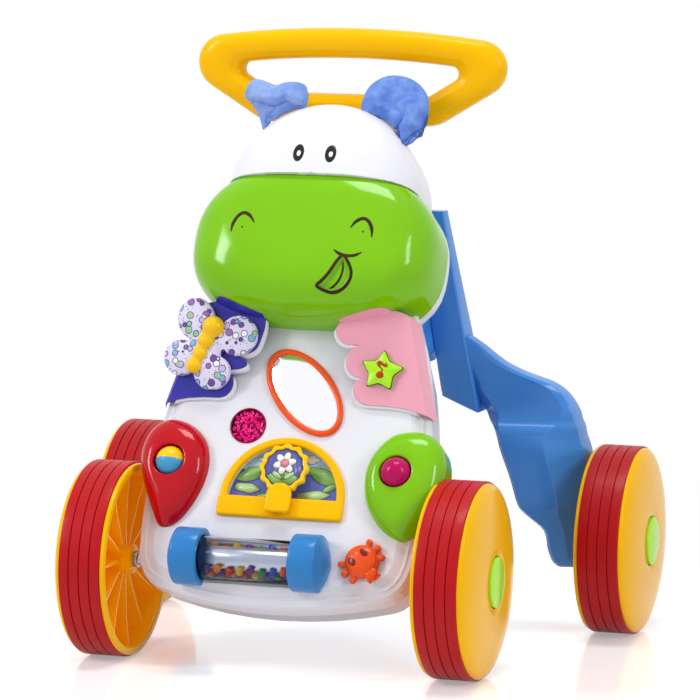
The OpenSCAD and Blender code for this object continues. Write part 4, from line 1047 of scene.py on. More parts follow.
def oval_rows(a, b, levels):
    """Rings round the mirror's middle; levels are (out, height, share) from an oval's edge."""
    rows = []
    for out, h, *share in levels:
        row = []
        for t in turns(160):
            q = share[0] if share else 1
            x, y = (a + out) * q * math.cos(t), (b + out) * q * math.sin(t)
            row.append(panel(MIRROR_AT.x + x * math.cos(MIRROR_TURN) - y * math.sin(MIRROR_TURN),
                             MIRROR_AT.y + x * math.sin(MIRROR_TURN) + y * math.cos(MIRROR_TURN), h))
        rows.append(row)
    return rows


ring_levels = [(-2.25 + 2.1 * math.cos(t), 1.2 + 1.75 * math.sin(t))
               for t in (math.pi * k / 9 for k in range(10))]
ring = skin("mirror_ring_skin", oval_rows(39.4, 21.6, [(0, 0.1)] + ring_levels + [(-4.5, 0.1), (0, 0.1)]))
fit(sharp(ring, 60), "mirror_ring")
glass = skin("mirror_skin", oval_rows(34.7, 17.3, [(0, 0.2), (0, 1.0), (-0.4, 1.2), (-0.6, 1.2, 0.5),
                                                (-0.6, 1.2, 0.01)]), ends=(True, True))
fit(sharp(glass, 30), "mirror")


# %% Jewel
GEM = (-33.3, 130.1, 13.0)


pink_glass = plastic("jewel_lens", srgb(255, 240, 248), rough=0.04, coat=0, drift=0.01, peel=0.02,
                     Transmission_Weight=1.0, IOR=1.12)
lens = skin("gem_lens_skin", disc_rows(GEM, [(12.6, -3.2), (12.6, 0.3), (12.2, 0.8), (10.8, 1.7), (8, 2.7),
                                             (4, 3.4), (0.05, 3.6)]), ends=(False, True))
fit(sharp(lens, 60), "gem_lens", pink_glass)
rim_pink = plastic("jewel_rim", srgb(150, 8, 74), rough=0.25, drift=0.03)
gem_rim = skin("gem_rim", disc_rows(GEM, [(13.4, -0.6), (13.4, 0.35), (13.1, 0.75), (12.6, 0.85), (12.3, 0.5),
                                          (12.3, -0.4)]))
dress(sharp(gem_rim, 60), rim_pink, "walker")
crystal_pink = plastic("crystal", srgb(236, 24, 134), rough=0.12, drift=0.24, grain=900, peel=0.3,
                       Subsurface_Weight=0.3, Subsurface_Scale=0.003)


def scatter_tree(name, material, seed):
    """Copies of an object on the faces of the input mesh, turned by chance."""
    tree, make, entry, leave = node_tree(name, ("Spacing", "Float", 0.0023), ("Piece", "Object", None))
    spots = make("GeometryNodeDistributePointsOnFaces")
    spots.distribute_method = "POISSON"
    spots.inputs["Density Max"].default_value = 400000
    spots.inputs["Seed"].default_value = seed
    piece = make("GeometryNodeObjectInfo")
    copies, real = make("GeometryNodeInstanceOnPoints"), make("GeometryNodeRealizeInstances")
    chance = make("FunctionNodeRandomValue")
    chance.data_type = "FLOAT_VECTOR"
    chance.inputs["Min"].default_value = (-1.2, -1.2, -3.14)
    chance.inputs["Max"].default_value = (1.2, 1.2, 3.14)
    chance.inputs["Seed"].default_value = seed + 1
    paint = make("GeometryNodeSetMaterial")
    paint.inputs["Material"].default_value = material
    join(entry, "Geometry", spots, "Mesh")
    join(entry, "Spacing", spots, "Distance Min")
    join(entry, "Piece", piece, "Object")
    join(spots, "Points", copies, "Points")
    join(piece, "Geometry", copies, "Instance")
    join(chance, "Value", copies, "Rotation")
    join(copies, "Instances", real, "Geometry")
    join(real, "Geometry", paint, "Geometry")
    join(paint, "Geometry", leave, "Geometry")
    return tree


rod_rows = [[Vector((r * math.cos(t), r * math.sin(t), z)) / 1000 for t in turns(6)]
            for r, z in ((0.6, -2.0), (1.3, -1.4), (1.45, 1.2), (0.7, 2.1))]
nest_floor = solid("gem_nest", disc_rows(GEM, [(12.4, -4.6), (12.4, -3.4), (0.05, -3.3)]))
dress(nest_floor, rim_pink, "walker")
rod = solid("crystal_rod", rod_rows)
sharp(rod, 20)
nest_rows = disc_rows(GEM, [(11.6, -2.6), (6, -1.6), (0.1, -1.2)], 24)
nest = skin("gem_crystals_skin", nest_rows, ends=(False, True))
spread = nest.modifiers.new("scatter", "NODES")
spread.node_group = scatter_tree("crystal_scatter", crystal_pink, 7)
piece_input = [i.identifier for i in spread.node_group.interface.items_tree if i.name == "Piece"][0]
spread[piece_input] = rod
settle(nest)
bpy.data.objects.remove(rod)
fit(sharp(nest, 20), "gem_crystals", crystal_pink)
print("crystal faces:", len(nest.data.polygons))

# %% Window frame
W = Vector((0.6, 76))
WR, ARCH_STEPS = 40.5, 90


def arch_rows(levels):
    """A half ring: levels are (radius, height); it runs from one end of the bar to the other."""
    angles = [math.pi * k / ARCH_STEPS for k in range(ARCH_STEPS + 1)]
    return [[panel(W.x + r * math.cos(t), W.y + r * math.sin(t), h) for r, h in levels] for t in angles]


arch_section = [(WR + 5.6, 0.1), (WR + 5.6, 1.7), (WR + 5.2, 2.7), (WR + 4.2, 3.2), (WR + 1.4, 3.2),
                (WR + 0.4, 2.8), (WR, 2.0), (WR, -2.2)]
arch = solid("window_frame_skin", arch_rows(arch_section))
fit(sharp(arch, 50), "window_frame")


def bar_outline():
    """The base bar's outline, a rectangle with small round corners."""
    half, low, high, corner = 46.5, -14, 1.0, 2.6
    run = []
    for x, y, start in ((half - corner, low + corner, -90), (half - corner, high - corner, 0),
                        (-half + corner, high - corner, 90), (-half + corner, low + corner, 180)):
        run += [(x + corner * math.cos(math.radians(start + 30 * k)),
                 y + corner * math.sin(math.radians(start + 30 * k))) for k in range(4)]
    return [Vector((W.x + x, W.y + y, 0)) for x, y in run]


def inset_loop(loop, d):
    """A loop moved inwards by d."""
    n, run = len(loop), []
    for i, p in enumerate(loop):
        u, v = (p - loop[i - 1]), (loop[(i + 1) % n] - p)
        m, k = Vector((-u.y, u.x, 0)).normalized(), Vector((-v.y, v.x, 0)).normalized()
        run.append(p + (m + k) * d / (1 + max(-0.6, m.dot(k))))
    return run


def plate(name, loop, levels):
    """A plate with a rounded edge: levels are (inset, height)."""
    rows = [[panel(p.x, p.y, h) for p in inset_loop(loop, d)] for d, h in levels]
    return solid(name, rows)


def blob(centre, radii, turn=0.0, wave=0.0, waves=5, steps=48):
    """A round or wavy loop."""
    run = []
    for t in turns(steps):
        r = 1 + wave * math.cos(waves * t)
        x, y = radii[0] * r * math.cos(t), radii[1] * r * math.sin(t)
        run.append(Vector((centre[0] + x * math.cos(turn) - y * math.sin(turn),
                           centre[1] + x * math.sin(turn) + y * math.cos(turn), 0)))
    return run


bar = plate("window_bar", bar_outline(), [(0, 0.1), (0, 2.4), (0.4, 3.1), (1.1, 3.5), (1.9, 3.6)])
dress(sharp(bar, 50), finish["yellow_plastic"], "walker")
TAB_R = 9.4
tab_loop = [Vector((W.x + TAB_R * math.cos(math.radians(7.5 * k)),
                    W.y + 0.8 + TAB_R * math.sin(math.radians(7.5 * k)), 0)) for k in range(25)]
for x, start in ((-TAB_R + 3, 180), (TAB_R - 3, 270)):
    tab_loop += [Vector((W.x + x + 3 * math.cos(math.radians(start + 15 * k)),
                         W.y - 9 + 3 * math.sin(math.radians(start + 15 * k)), 0)) for k in range(7)]
tab = plate("window_tab", tab_loop, [(0, 7.95), (0, 8.5), (0.4, 9.2), (1.0, 9.6), (1.9, 9.8)])
dress(sharp(tab, 40), finish["yellow_plastic"], "walker")

# %% Flat printed shapes
def paper(name, colour):
    return plastic(name, srgb(*colour), rough=0.42, coat=0.5, drift=0.03, peel=0.02)


(pond_blue, leaf_green, pale_leaf, sky_print, cloud_print, petal_print, outline_print,
 heart_print, stem_print) = (
    paper(name + "_print", colour) for name, colour in (
        ("pond", (88, 98, 176)), ("leaf", (140, 196, 108)), ("pale_leaf", (178, 212, 142)),
        ("sky", (176, 214, 232)), ("cloud", (244, 244, 240)), ("petal", (250, 248, 240)),
        ("outline", (40, 52, 84)), ("heart", (236, 130, 150)), ("stem", (92, 160, 64))))


def clipped(loop, centre, radius, floor):
    """Keeps a loop inside a half disc."""
    run = []
    for p in loop:
        q = Vector((p.x, max(p.y, floor), 0))
        d = Vector((q.x - centre[0], q.y - centre[1], 0))
        if d.length > radius:
            d *= radius / d.length
        run.append(Vector((centre[0] + d.x, centre[1] + d.y, 0)))
    return run


def printed(name, loop, level, material, body="walker"):
    """A thin printed shape, with a dark line just under and outside it."""
    for label, run, top, foot, tone in (("_line", inset_loop(loop, -0.35), 0.03, 0.06, outline_print),
                                        ("", loop, 0, 0.04, material)):
        rows = [[panel(p.x, p.y, level - down) for p in run] for down in (top, foot)]
        dress(solid(name + label, rows), tone, body)


card_loop = [Vector((p.x, max(p.y, W.y - 2.5), 0)) for p in blob(W, (WR + 1, WR + 1), steps=96)]
card_base = plate("window_card_skin", card_loop, [(0, -3.6), (0, -2.7)])
fit(sharp(card_base, 40), "window_card", pond_blue)
CARD = -2.5
sky = [Vector((W.x + (WR + 0.6) * math.cos(t), W.y + (WR + 0.6) * math.sin(t), 0))
       for t in (math.radians(a) for a in range(34, 147, 4))]
sky += [Vector((W.x + x, W.y + 21 + 1.6 * math.sin(x / 5), 0)) for x in range(-30, 31, 4)]
printed("card_sky", sky, CARD, sky_print)
# name, place, radii, turn, wave, number of waves, ink
scene_shapes = [
    ("cloud_a", (-14, 31), (8, 3.2), 0.1, 0.12, 6, cloud_print),
    ("cloud_b", (15, 32), (7, 3), 0, 0.14, 5, cloud_print),
    ("hill_a", (-26, 19), (11, 4.6), 0.35, 0.05, 4, leaf_green),
    ("hill_b", (27, 20), (12, 5), -0.4, 0.05, 4, leaf_green),
    ("isle_a", (-28, 8.4), (9.4, 3.4), -0.1, 0.08, 5, pale_leaf),
    ("isle_b", (-8, 3.4), (11, 2.9), 0.05, 0.06, 4, leaf_green),
    ("isle_c", (21, 5.2), (12, 3.4), 0.1, 0.07, 5, pale_leaf),
    ("isle_d", (33, 11.5), (5.5, 2.2), 0.5, 0.05, 4, leaf_green),
    ("bank", (4, -1.0), (38, 2.4), 0, 0.04, 9, leaf_green),
]
for k, (name, at, radii, turn, wave, waves, ink_of) in enumerate(scene_shapes):
    loop = blob((W.x + at[0], W.y + at[1]), radii, turn, wave, waves)
    loop = clipped(loop, (W.x, W.y), WR + 0.4, W.y - 1.5)
    printed("card_" + name, loop, CARD + 0.08 + 0.05 * (k % 3), ink_of)

# %% Medallion
MEDAL = Vector((0.6, 98))
PIVOT = Vector((0.6, 71))
LIFT = 3.9


def medal_loop(radius, wave):
    """A wavy round outline with twelve lobes."""
    return [Vector((MEDAL.x + radius * (1 + wave * math.cos(12 * t)) * math.cos(t),
                    MEDAL.y + radius * (1 + wave * math.cos(12 * t)) * math.sin(t), 0))
            for t in turns(120)]


outer, hollow = medal_loop(17.6, 0.055), medal_loop(14.3, 0.03)
levels = [(outer, 0, LIFT), (outer, 0, LIFT + 2.2), (outer, 0.5, LIFT + 3.1), (outer, 1.1, LIFT + 3.3),
          (hollow, -0.5, LIFT + 3.3), (hollow, 0, LIFT + 3.0), (hollow, 0.1, LIFT + 2.1)]
rows = [[panel(p.x, p.y, h) for p in inset_loop(loop, d)] for loop, d, h in levels]
medal = solid("medallion_skin", rows)
fit(sharp(medal, 50), "medallion", finish["lemon_plastic"])
stem_loop = [Vector((PIVOT.x + x, PIVOT.y + y, 0)) for x, y in
             ((-4.4, 12), (-4.8, 4), (-5.6, 0), (-4, -4), (0, -5.6), (4, -4), (5.6, 0), (4.8, 4), (4.4, 12))]
stem_body = plate("medallion_stem", stem_loop, [(0, LIFT + 0.1), (0, LIFT + 2.0), (0.5, LIFT + 2.6)])
sharp(stem_body, 50)
MEDAL_BODY = body_of_node["medallion"]
dress(stem_body, finish["lemon_plastic"], MEDAL_BODY)
FACE_H = LIFT + 2.2
printed("medal_ground", medal_loop(13.9, 0.03), FACE_H, pond_blue, MEDAL_BODY)
printed("medal_hill", clipped(blob((MEDAL.x, MEDAL.y - 9.5), (12.4, 6.2), 0, 0.03, 5), MEDAL, 13.2,
                              MEDAL.y - 14), FACE_H + 0.08, leaf_green, MEDAL_BODY)
printed("medal_stem", [Vector((MEDAL.x + x, MEDAL.y + y, 0)) for x, y in
                       ((-1, -9), (1, -9), (0.9, -4), (1.1, 0), (-0.9, 0), (-0.8, -4))],
        FACE_H + 0.14, stem_print, MEDAL_BODY)
for side, label in SIDES:
    printed("medal_leaf_" + label,
            blob((MEDAL.x + side * 4.6, MEDAL.y - 5.6), (4, 1.7), side * 0.6, 0.04, 3),
            FACE_H + 0.16, pale_leaf, MEDAL_BODY)
for k in range(6):
    t = 2 * math.pi * (k + 0.25) / 6
    at = MEDAL.x + 4.9 * math.cos(t), MEDAL.y + 3.4 + 4.9 * math.sin(t)
    printed("medal_petal_%d" % k, blob(at, (3.5, 2.4), t), FACE_H + 0.2, petal_print, MEDAL_BODY)
printed("medal_heart", blob((MEDAL.x, MEDAL.y + 3.4), (2.9, 2.9)), FACE_H + 0.28, heart_print, MEDAL_BODY)
pin_rows = disc_rows(PIVOT, [(2.4, 0.6), (2.4, LIFT + 3.0), (3.4, LIFT + 3.1), (3.4, LIFT + 3.6),
                             (0.05, LIFT + 3.9)], 40)
pin = solid("medallion_pin_skin", pin_rows)
fit(sharp(pin, 50), "medallion_pin")
print("window and medallion ready")

# %% [markdown]
# ## Roller, brackets and beetle
# The roller is a clear tube with a silver core and loose coloured beads. It turns between two blue
# end blocks. A block is a turned form with a flat foot on the panel: a thick ring, a groove and a
# low cone on the outer side. The beetle is a small knob with a domed back, two dark spots, a round
# head and six short legs, and it turns on its stem.

# %% Roller
AXIS_S, AXIS_H = 28.5, 7.0
TUBE = (-50.5, 23.0)


def about_axis(x, r, turn):
    """A place round the roller's axis; the turn is 0 away from the panel."""
    return panel(x, AXIS_S + r * math.sin(turn), AXIS_H + r * math.cos(turn))


def spun(name, profile, steps=72, floor=None, ends=(False, False), closed=False):
    """A form turned about the roller's axis from (x, radius), flat where it meets a floor."""
    rows = []
    for x, r in profile:
        row = []
        for t in turns(steps):
            h = AXIS_H + r * math.cos(t)
            row.append(panel(x, AXIS_S + r * math.sin(t), h if floor is None else max(floor, h)))
        rows.append(row)
    if closed:
        rows.append(rows[0])
    return sharp(skin(name, rows, ends=ends), 45)


smoke = plastic("smoky_tube", srgb(216, 220, 228), rough=0.04, coat=0, drift=0.02, peel=0.02,
                Transmission_Weight=1.0, IOR=1.16)
tube = spun("roller_tube_skin", [(TUBE[0], 2.4), (TUBE[0], 14.4), (TUBE[0] + 0.6, 15), (TUBE[1] - 0.6, 15),
                                 (TUBE[1], 14.4), (TUBE[1], 2.4), (TUBE[1] - 1.6, 2.4), (TUBE[1] - 1.6, 13.8),
                                 (TUBE[0] + 1.6, 13.8), (TUBE[0] + 1.6, 2.4)], 96, closed=True)
fit(tube, "roller_tube", smoke)
core = spun("roller_core_skin", [(TUBE[0] + 2, 2.6), (TUBE[0] + 2, 8.0), (TUBE[0] + 2.5, 8.4),
                                 (TUBE[1] - 2.5, 8.4), (TUBE[1] - 2, 8.0), (TUBE[1] - 2, 2.6)], 96)
fit(core, "roller_core", plastic("core_foil", srgb(226, 228, 234), rough=0.22, coat=0, grain=1400,
                                 peel=0.35, Metallic=1.0))
BEAD_COLOURS = [(208, 44, 36), (240, 128, 40), (96, 50, 130), (236, 96, 44), (44, 84, 186), (40, 140, 84),
                (120, 44, 120), (224, 180, 46)]


def bead_finish():
    """Glossy beads; each bead's colour is an attribute of its faces."""
    material = plastic("bead_gloss", srgb(200, 200, 200), rough=0.14)
    tree = material.node_tree
    skin_node = next(n for n in tree.nodes if n.type == "BSDF_PRINCIPLED")
    colour = add(tree, "Attribute", attribute_name="bead_colour", attribute_type="GEOMETRY")
    blend = add(tree, "Mix", data_type="RGBA", blend_type="MULTIPLY")
    blend.inputs["Factor"].default_value = 1.0
    join(colour, "Color", blend, "A")
    speck = next(n for n in tree.nodes if n.type == "VALTORGB")
    speck.color_ramp.elements[0].color, speck.color_ramp.elements[1].color = (0.86,) * 3 + (1,), (1, 1, 1, 1)
    join(speck, "Color", blend, "B")
    join(blend, "Result", skin_node, "Base Color")
    return material


def beads():
    shape = bmesh.new()
    layer = shape.verts.layers.float_color.new("bead_colour")
    count, columns = 0, 8
    pitch = (TUBE[1] - TUBE[0] - 9) / columns
    for i in range(columns):
        for turn in (152, 112, -70, -116):
            x = TUBE[0] + 4.5 + pitch * (i + 0.5) + (1.3 if abs(turn) > 90 else 0)
            centre = about_axis(x, 10.9, math.radians(turn + 9 * math.sin(2.1 * i)))
            made = bmesh.ops.create_uvsphere(shape, u_segments=20, v_segments=12, radius=0.0029,
                                             matrix=Matrix.Translation(centre))
            tone = srgb(*BEAD_COLOURS[(i * 3 + count) % len(BEAD_COLOURS)])
            for vert in made["verts"]:
                vert[layer] = tone
            count += 1
    mesh = bpy.data.meshes.new("roller_beads_skin")
    shape.to_mesh(mesh)
    shape.free()
    obj = bpy.data.objects.new("roller_beads_skin", mesh)
    bpy.context.scene.collection.objects.link(obj)
    obj.data.shade_smooth()
    return obj


fit(beads(), "roller_beads", bead_finish())
bracket_blue = plastic("bracket_blue", srgb(44, 126, 196))
for side, (near, far) in (("left", (-47.5, -72.5)), ("right", (20.0, 46.5))):
    way = 1 if far > near else -1
    block = spun("roller_bracket_%s_skin" % side,
                 [(near + way * x, r) for x, r in
                  ((3.4, 15.6), (0.2, 15.6), (0, 15.9), (0, 19.4), (0.3, 20.2), (1.2, 20.5), (17.6, 20.5),
                   (19, 20.2), (19.8, 19.2), (20.1, 17.6), (20.5, 16.9), (21.2, 15.9), (23.2, 11.4),
                   (24.6, 6.4), (25.0, 2.6), (25.05, 0.05))], 96, floor=0.15, ends=(True, True))
    fit(block, "roller_bracket_" + side, bracket_blue)
print("roller ready")

# %% Beetle
BEETLE = Vector((67, 33.5))
HEADING = math.radians(-46)


def on_beetle(along, across, h):
    """A place on the panel along and across the beetle's own direction."""
    x = along * math.cos(HEADING) - across * math.sin(HEADING)
    y = along * math.sin(HEADING) + across * math.cos(HEADING)
    return panel(BEETLE.x + x, BEETLE.y + y, h)


def back_height(u, v):
    q = min(1, math.hypot(u / 12.2, v / 12.0))
    groove = 0.5 * math.exp(-(v / 0.8) ** 2) * (1 - q ** 4)
    return 3.4 + 5.4 * (1 - q ** 2.4) ** 0.5 - groove


rows = [[on_beetle(12.2 * math.cos(t), 12.0 * math.sin(t), h) for t in turns(64)]
        for h in (1.4, 2.2)]
for k in range(15):
    q = math.cos(math.pi / 2 * (k + 0.3) / 14.6)
    rows.append([on_beetle(12.2 * q * math.cos(t), 12.0 * q * math.sin(t),
                           back_height(12.2 * q * math.cos(t), 12.0 * q * math.sin(t)))
                 for t in turns(64)])
beetle = sharp(solid("beetle_switch_skin", rows), 50)
fit(beetle, "beetle_switch")
LEG_SECTION = ((-1, 0), (1, 0), (1, 0.7), (0.7, 0.95), (0, 1), (-0.7, 0.95), (-1, 0.7))
BUG_BODY, BUG_SLOT = body_of_node["beetle_switch"], slot_of_node["beetle_switch"]
dark_red = plastic("dark_red_print", srgb(136, 12, 12), rough=0.2, drift=0.03)


def button_like(name, along, across, radius, low, high, squeeze=0.35):
    """A round knob of the beetle with a domed top."""
    levels = ((radius, low), (radius, high - radius * squeeze), (radius * 0.86, high - radius * 0.12),
              (radius * 0.5, high), (0.03, high + 0.05))
    rows = [[on_beetle(along + r * math.cos(t), across + r * math.sin(t), h) for t in turns(32)]
            for r, h in levels]
    return dress(sharp(solid(name, rows), 50), finish["orange_plastic"], BUG_BODY)


button_like("beetle_head", 12.2, 0, 4.9, 1.4, 6.4, 0.4)
for side, label in SIDES:
    button_like("beetle_horn_" + label, 15.4, side * 3.6, 1.5, 1.6, 4.6)
    for k, angle in enumerate((62, 92, 122)):
        t = side * math.radians(angle)
        leg = "%s_%d" % (label, k)
        across_way = Vector((-math.sin(t), math.cos(t)))
        rows = []
        for r, wide, top in ((8, 2.0, 4.8), (11, 2.0, 4.8), (13, 1.8, 4.6), (14.4, 1.6, 4.4)):
            at = Vector((math.cos(t), math.sin(t))) * r
            rows.append([on_beetle(at.x + across_way.x * wide * u, at.y + across_way.y * wide * u,
                                   1.4 + (top - 1.4) * v) for u, v in LEG_SECTION])
        dress(sharp(solid("beetle_leg_" + leg, rows), 50), finish["orange_plastic"],
              BUG_BODY)
        button_like("beetle_foot_" + leg, 14.7 * math.cos(t), 14.7 * math.sin(t), 2.3, 1.4, 4.9)
    dark = [[on_beetle(-2.4 + 3.6 * q * math.cos(t), side * 5.2 + 2.3 * q * math.sin(t),
                       back_height(-2.4 + 3.6 * q * math.cos(t), side * 5.2 + 2.3 * q * math.sin(t)) + d)
             for t in turns(40)]
            for q, d in ((1, -0.3), (1, 0.08), (0.8, 0.16), (0.4, 0.18), (0.03, 0.18))]
    dress(solid("beetle_spot_" + label, dark), dark_red, BUG_BODY)
print("beetle ready")

# %% [markdown]
# ## Butterfly and ears: padded cloth
# The butterfly's wings and the two ears are the only soft pieces. Each is two layers of cloth sewn
# round the edge over a thin filling, so it is simulated: the flat pad is remeshed finely, blown up
# by a small pressure as cloth, and no point may move more than a cap. The work is done at a larger
# size, where the solver is steady, and the result is brought back to its place. The ears' creases
# are pressed in afterwards, because a remesh would lose them.

# %% Blow up a pad
SIM_SCALE, SIM_FRAMES = 6.0, 20


def puffed(obj, voxel, pressure, cap):
    """The pad as a sewn cushion: cloth with air in it, then one subdivision."""
    mesh = obj.data
    centre = sum((v.co for v in mesh.vertices), Vector()) / len(mesh.vertices)
    for v in mesh.vertices:
        v.co = (v.co - centre) * SIM_SCALE
    grid = obj.modifiers.new("remesh", "REMESH")
    grid.mode, grid.voxel_size, grid.use_smooth_shade = "VOXEL", voxel * SIM_SCALE, True
    settle(obj)
    start = [v.co.copy() for v in obj.data.vertices]
    cloth = obj.modifiers.new("cloth", "CLOTH")
    cloth.settings.quality = 6
    cloth.settings.mass = 0.3
    cloth.settings.tension_stiffness = cloth.settings.compression_stiffness = 12
    cloth.settings.shear_stiffness, cloth.settings.bending_stiffness = 4, 0.4
    cloth.settings.use_pressure = True
    cloth.settings.uniform_pressure_force = pressure
    cloth.settings.shrink_min = 0.02
    cloth.settings.effector_weights.gravity = 0
    cloth.collision_settings.use_collision = False
    cloth.point_cache.frame_start, cloth.point_cache.frame_end = 1, SIM_FRAMES
    scene = bpy.context.scene
    for frame_number in range(1, SIM_FRAMES + 1):
        scene.frame_set(frame_number)
    moved = bpy.data.meshes.new_from_object(obj.evaluated_get(bpy.context.evaluated_depsgraph_get()))
    obj.modifiers.clear()
    scene.frame_set(1)
    limit = cap * SIM_SCALE
    for v, old, new in zip(obj.data.vertices, start, moved.vertices):
        step = new.co - old
        v.co = old + step * min(1, limit / max(step.length, 1e-9))
    bpy.data.meshes.remove(moved)
    for v in obj.data.vertices:
        v.co = v.co / SIM_SCALE + centre
    fine_mesh = obj.modifiers.new("fine", "SUBSURF")
    fine_mesh.levels = fine_mesh.render_levels = 1
    settle(obj)
    obj.data.shade_smooth()
    return obj


AX, AS, AH = panel_way(1, 0, 0), panel_way(0, 1, 0), panel_way(0, 0, 1)


def pad_copy(node, grow):
    """A welded copy of a CAD pad, moved out a little along its normals."""
    mesh = bpy.data.meshes.new(node + "_pad")
    shape = bmesh.new()
    shape.from_mesh(nodes[node].data)
    bmesh.ops.remove_doubles(shape, verts=shape.verts, dist=WELD)
    bmesh.ops.recalc_face_normals(shape, faces=shape.faces)
    shape.to_mesh(mesh)
    shape.free()
    obj = bpy.data.objects.new(node + "_skin", mesh)
    bpy.context.scene.collection.objects.link(obj)
    push = obj.modifiers.new("draw_out", "DISPLACE")
    push.strength, push.mid_level = grow, 0.0
    return settle(obj)


# %% Printed cloth
def printed_cloth():
    """White and lilac satin with rows of outlined dots and rings."""
    material = bpy.data.materials.new("printed_satin_dots")
    tree, out = tree_of(material)
    cloth = add(tree, "BsdfPrincipled", Roughness=0.62, Sheen_Weight=0.3, Sheen_Roughness=0.4)
    place = add(tree, "TexCoord")
    big = add(tree, "TexVoronoi", Scale=160.0, Randomness=0.85)
    small = add(tree, "TexVoronoi", Scale=430.0, Randomness=0.9)
    weave = add(tree, "TexNoise", Scale=2600.0, Detail=2)
    fold = add(tree, "TexNoise", Scale=120.0, Detail=2)
    for texture in (big, small, weave, fold):
        join(place, "Object", texture, "Vector")
    dots = tones(tree, (0.0, srgb(110, 60, 150)), (0.22, srgb(196, 186, 232)), (0.42, srgb(128, 176, 214)),
                 (0.56, srgb(244, 242, 250)), (0.72, srgb(150, 96, 176)), (0.86, srgb(150, 196, 150)),
                 interpolation="CONSTANT")
    split = add(tree, "SeparateColor")
    join(big, "Color", split, 0)
    join(split, 0, dots, "Fac")
    rings = tones(tree, *((at, (grey, grey, grey, 1)) for at, grey in (
        (0.0, 0.0), (0.37, 0.0), (0.39, 0.5), (0.45, 0.5), (0.47, 1.0), (1.0, 1.0))))
    join(big, "Distance", rings, "Fac")
    ground = tones(tree, (0.16, srgb(84, 78, 150)), (0.24, srgb(222, 216, 242)))
    join(small, "Distance", ground, "Fac")
    inner, outer_mix = add(tree, "Mix", data_type="RGBA"), add(tree, "Mix", data_type="RGBA")
    low, high = add(tree, "MapRange", From_Max=0.5), add(tree, "MapRange", From_Min=0.5)
    for part in (low, high):
        join(rings, "Color", part, "Value")
    join(low, "Result", inner, "Factor")
    join(dots, "Color", inner, "A")
    inner.inputs["B"].default_value = srgb(48, 46, 110)
    join(high, "Result", outer_mix, "Factor")
    join(inner, "Result", outer_mix, "A")
    join(ground, "Color", outer_mix, "B")
    join(outer_mix, "Result", cloth, "Base Color")
    rough = add(tree, "MapRange", To_Min=0.45, To_Max=0.7, Value=(weave, "Fac"))
    join(rough, "Result", cloth, "Roughness")
    bump = add(tree, "Bump", Strength=0.35, Distance=0.0003, Height=(weave, "Fac"))
    crease = add(tree, "Bump", Strength=0.5, Distance=0.0012, Height=(fold, "Fac"), Normal=(bump, "Normal"))
    join(crease, "Normal", cloth, "Normal")
    join(cloth, 0, out, 0)
    return material


wings = pad_copy("butterfly_wings", 0.0006)
puffed(wings, 0.0011, 7, 0.0022)
fit(wings, "butterfly_wings", printed_cloth())
BUG = Vector((-70.5, 183))
BUG_TURN = math.radians(68)


def on_bug(along, across, h):
    """A place over the butterfly, above the sleeve's slope."""
    x = along * math.cos(BUG_TURN) - across * math.sin(BUG_TURN)
    y = along * math.sin(BUG_TURN) + across * math.cos(BUG_TURN)
    top = sleeve_slope(BUG.y)
    return panel(BUG.x + x, BUG.y + y * math.cos(SLOPE) - h * math.sin(SLOPE),
                 top + y * math.sin(SLOPE) + h * math.cos(SLOPE))


def body_radius(u):
    """Half width of the butterfly's body along its length: four beads that flow together."""
    beads_at = ((16.0, 8.0), (5.0, 6.3), (-5.2, 5.7), (-14.6, 5.7))
    return sum(max(0, r * r - (u - c) ** 2) ** 1.5 for c, r in beads_at) ** (1 / 3) if any(
        abs(u - c) < r for c, r in beads_at) else 0


rows = []
stations = [-20.3 + 44.1 * (0.5 - 0.5 * math.cos(math.pi * k / 70)) for k in range(71)]
for u in stations:
    r = max(0.05, body_radius(u) if -20.25 < u < 23.75 else 0.05)
    waist_r = 4.4 if -18 < u < 20 else 0
    r = max(r, waist_r)
    rows.append([on_bug(u, r * math.cos(t), max(4.6, 6.2 + r * 0.9 * math.sin(t)))
                 for t in turns(40)])
bug = sharp(solid("butterfly_body_skin", rows), 60)
fit(bug, "butterfly_body", finish["lemon_plastic"])


# %% Plush
def plush(name, colour, pale):
    """Short pile: a soft rim of light, a mottled colour and a nap that is brushed here and there."""
    material = bpy.data.materials.new(name)
    tree, out = tree_of(material)
    cloth = add(tree, "BsdfPrincipled", Roughness=0.92, Sheen_Weight=0.8, Sheen_Roughness=0.35,
                Sheen_Tint=shade(pale, 1.5))
    place = add(tree, "TexCoord")
    nap = add(tree, "TexNoise", Scale=70.0, Detail=3, Roughness=0.6)
    hair = add(tree, "TexNoise", Scale=1500.0, Detail=4, Roughness=0.7)
    for texture in (nap, hair):
        join(place, "Object", texture, "Vector")
    tone = tones(tree, (0.35, colour), (0.68, pale))
    join(nap, "Fac", tone, "Fac")
    join(tone, "Color", cloth, "Base Color")
    rough = add(tree, "MapRange", To_Min=0.8, To_Max=1.0, Value=(hair, "Fac"))
    join(rough, "Result", cloth, "Roughness")
    bump = add(tree, "Bump", Strength=0.7, Distance=0.0007, Height=(hair, "Fac"))
    soft = add(tree, "Bump", Strength=0.5, Distance=0.002, Height=(nap, "Fac"), Normal=(bump, "Normal"))
    join(soft, "Normal", cloth, "Normal")
    join(cloth, 0, out, 0)
    return material


def pad_from(name, outline, levels):
    """A closed pad over a loop: levels are (share of the outline's size, height)."""
    return tablet(name, outline, sum(outline, Vector()) / len(outline), panel, levels)


def soft_loop(*points):
    """A closed smooth outline on the panel."""
    return flat_run(points, 5, closed=True)


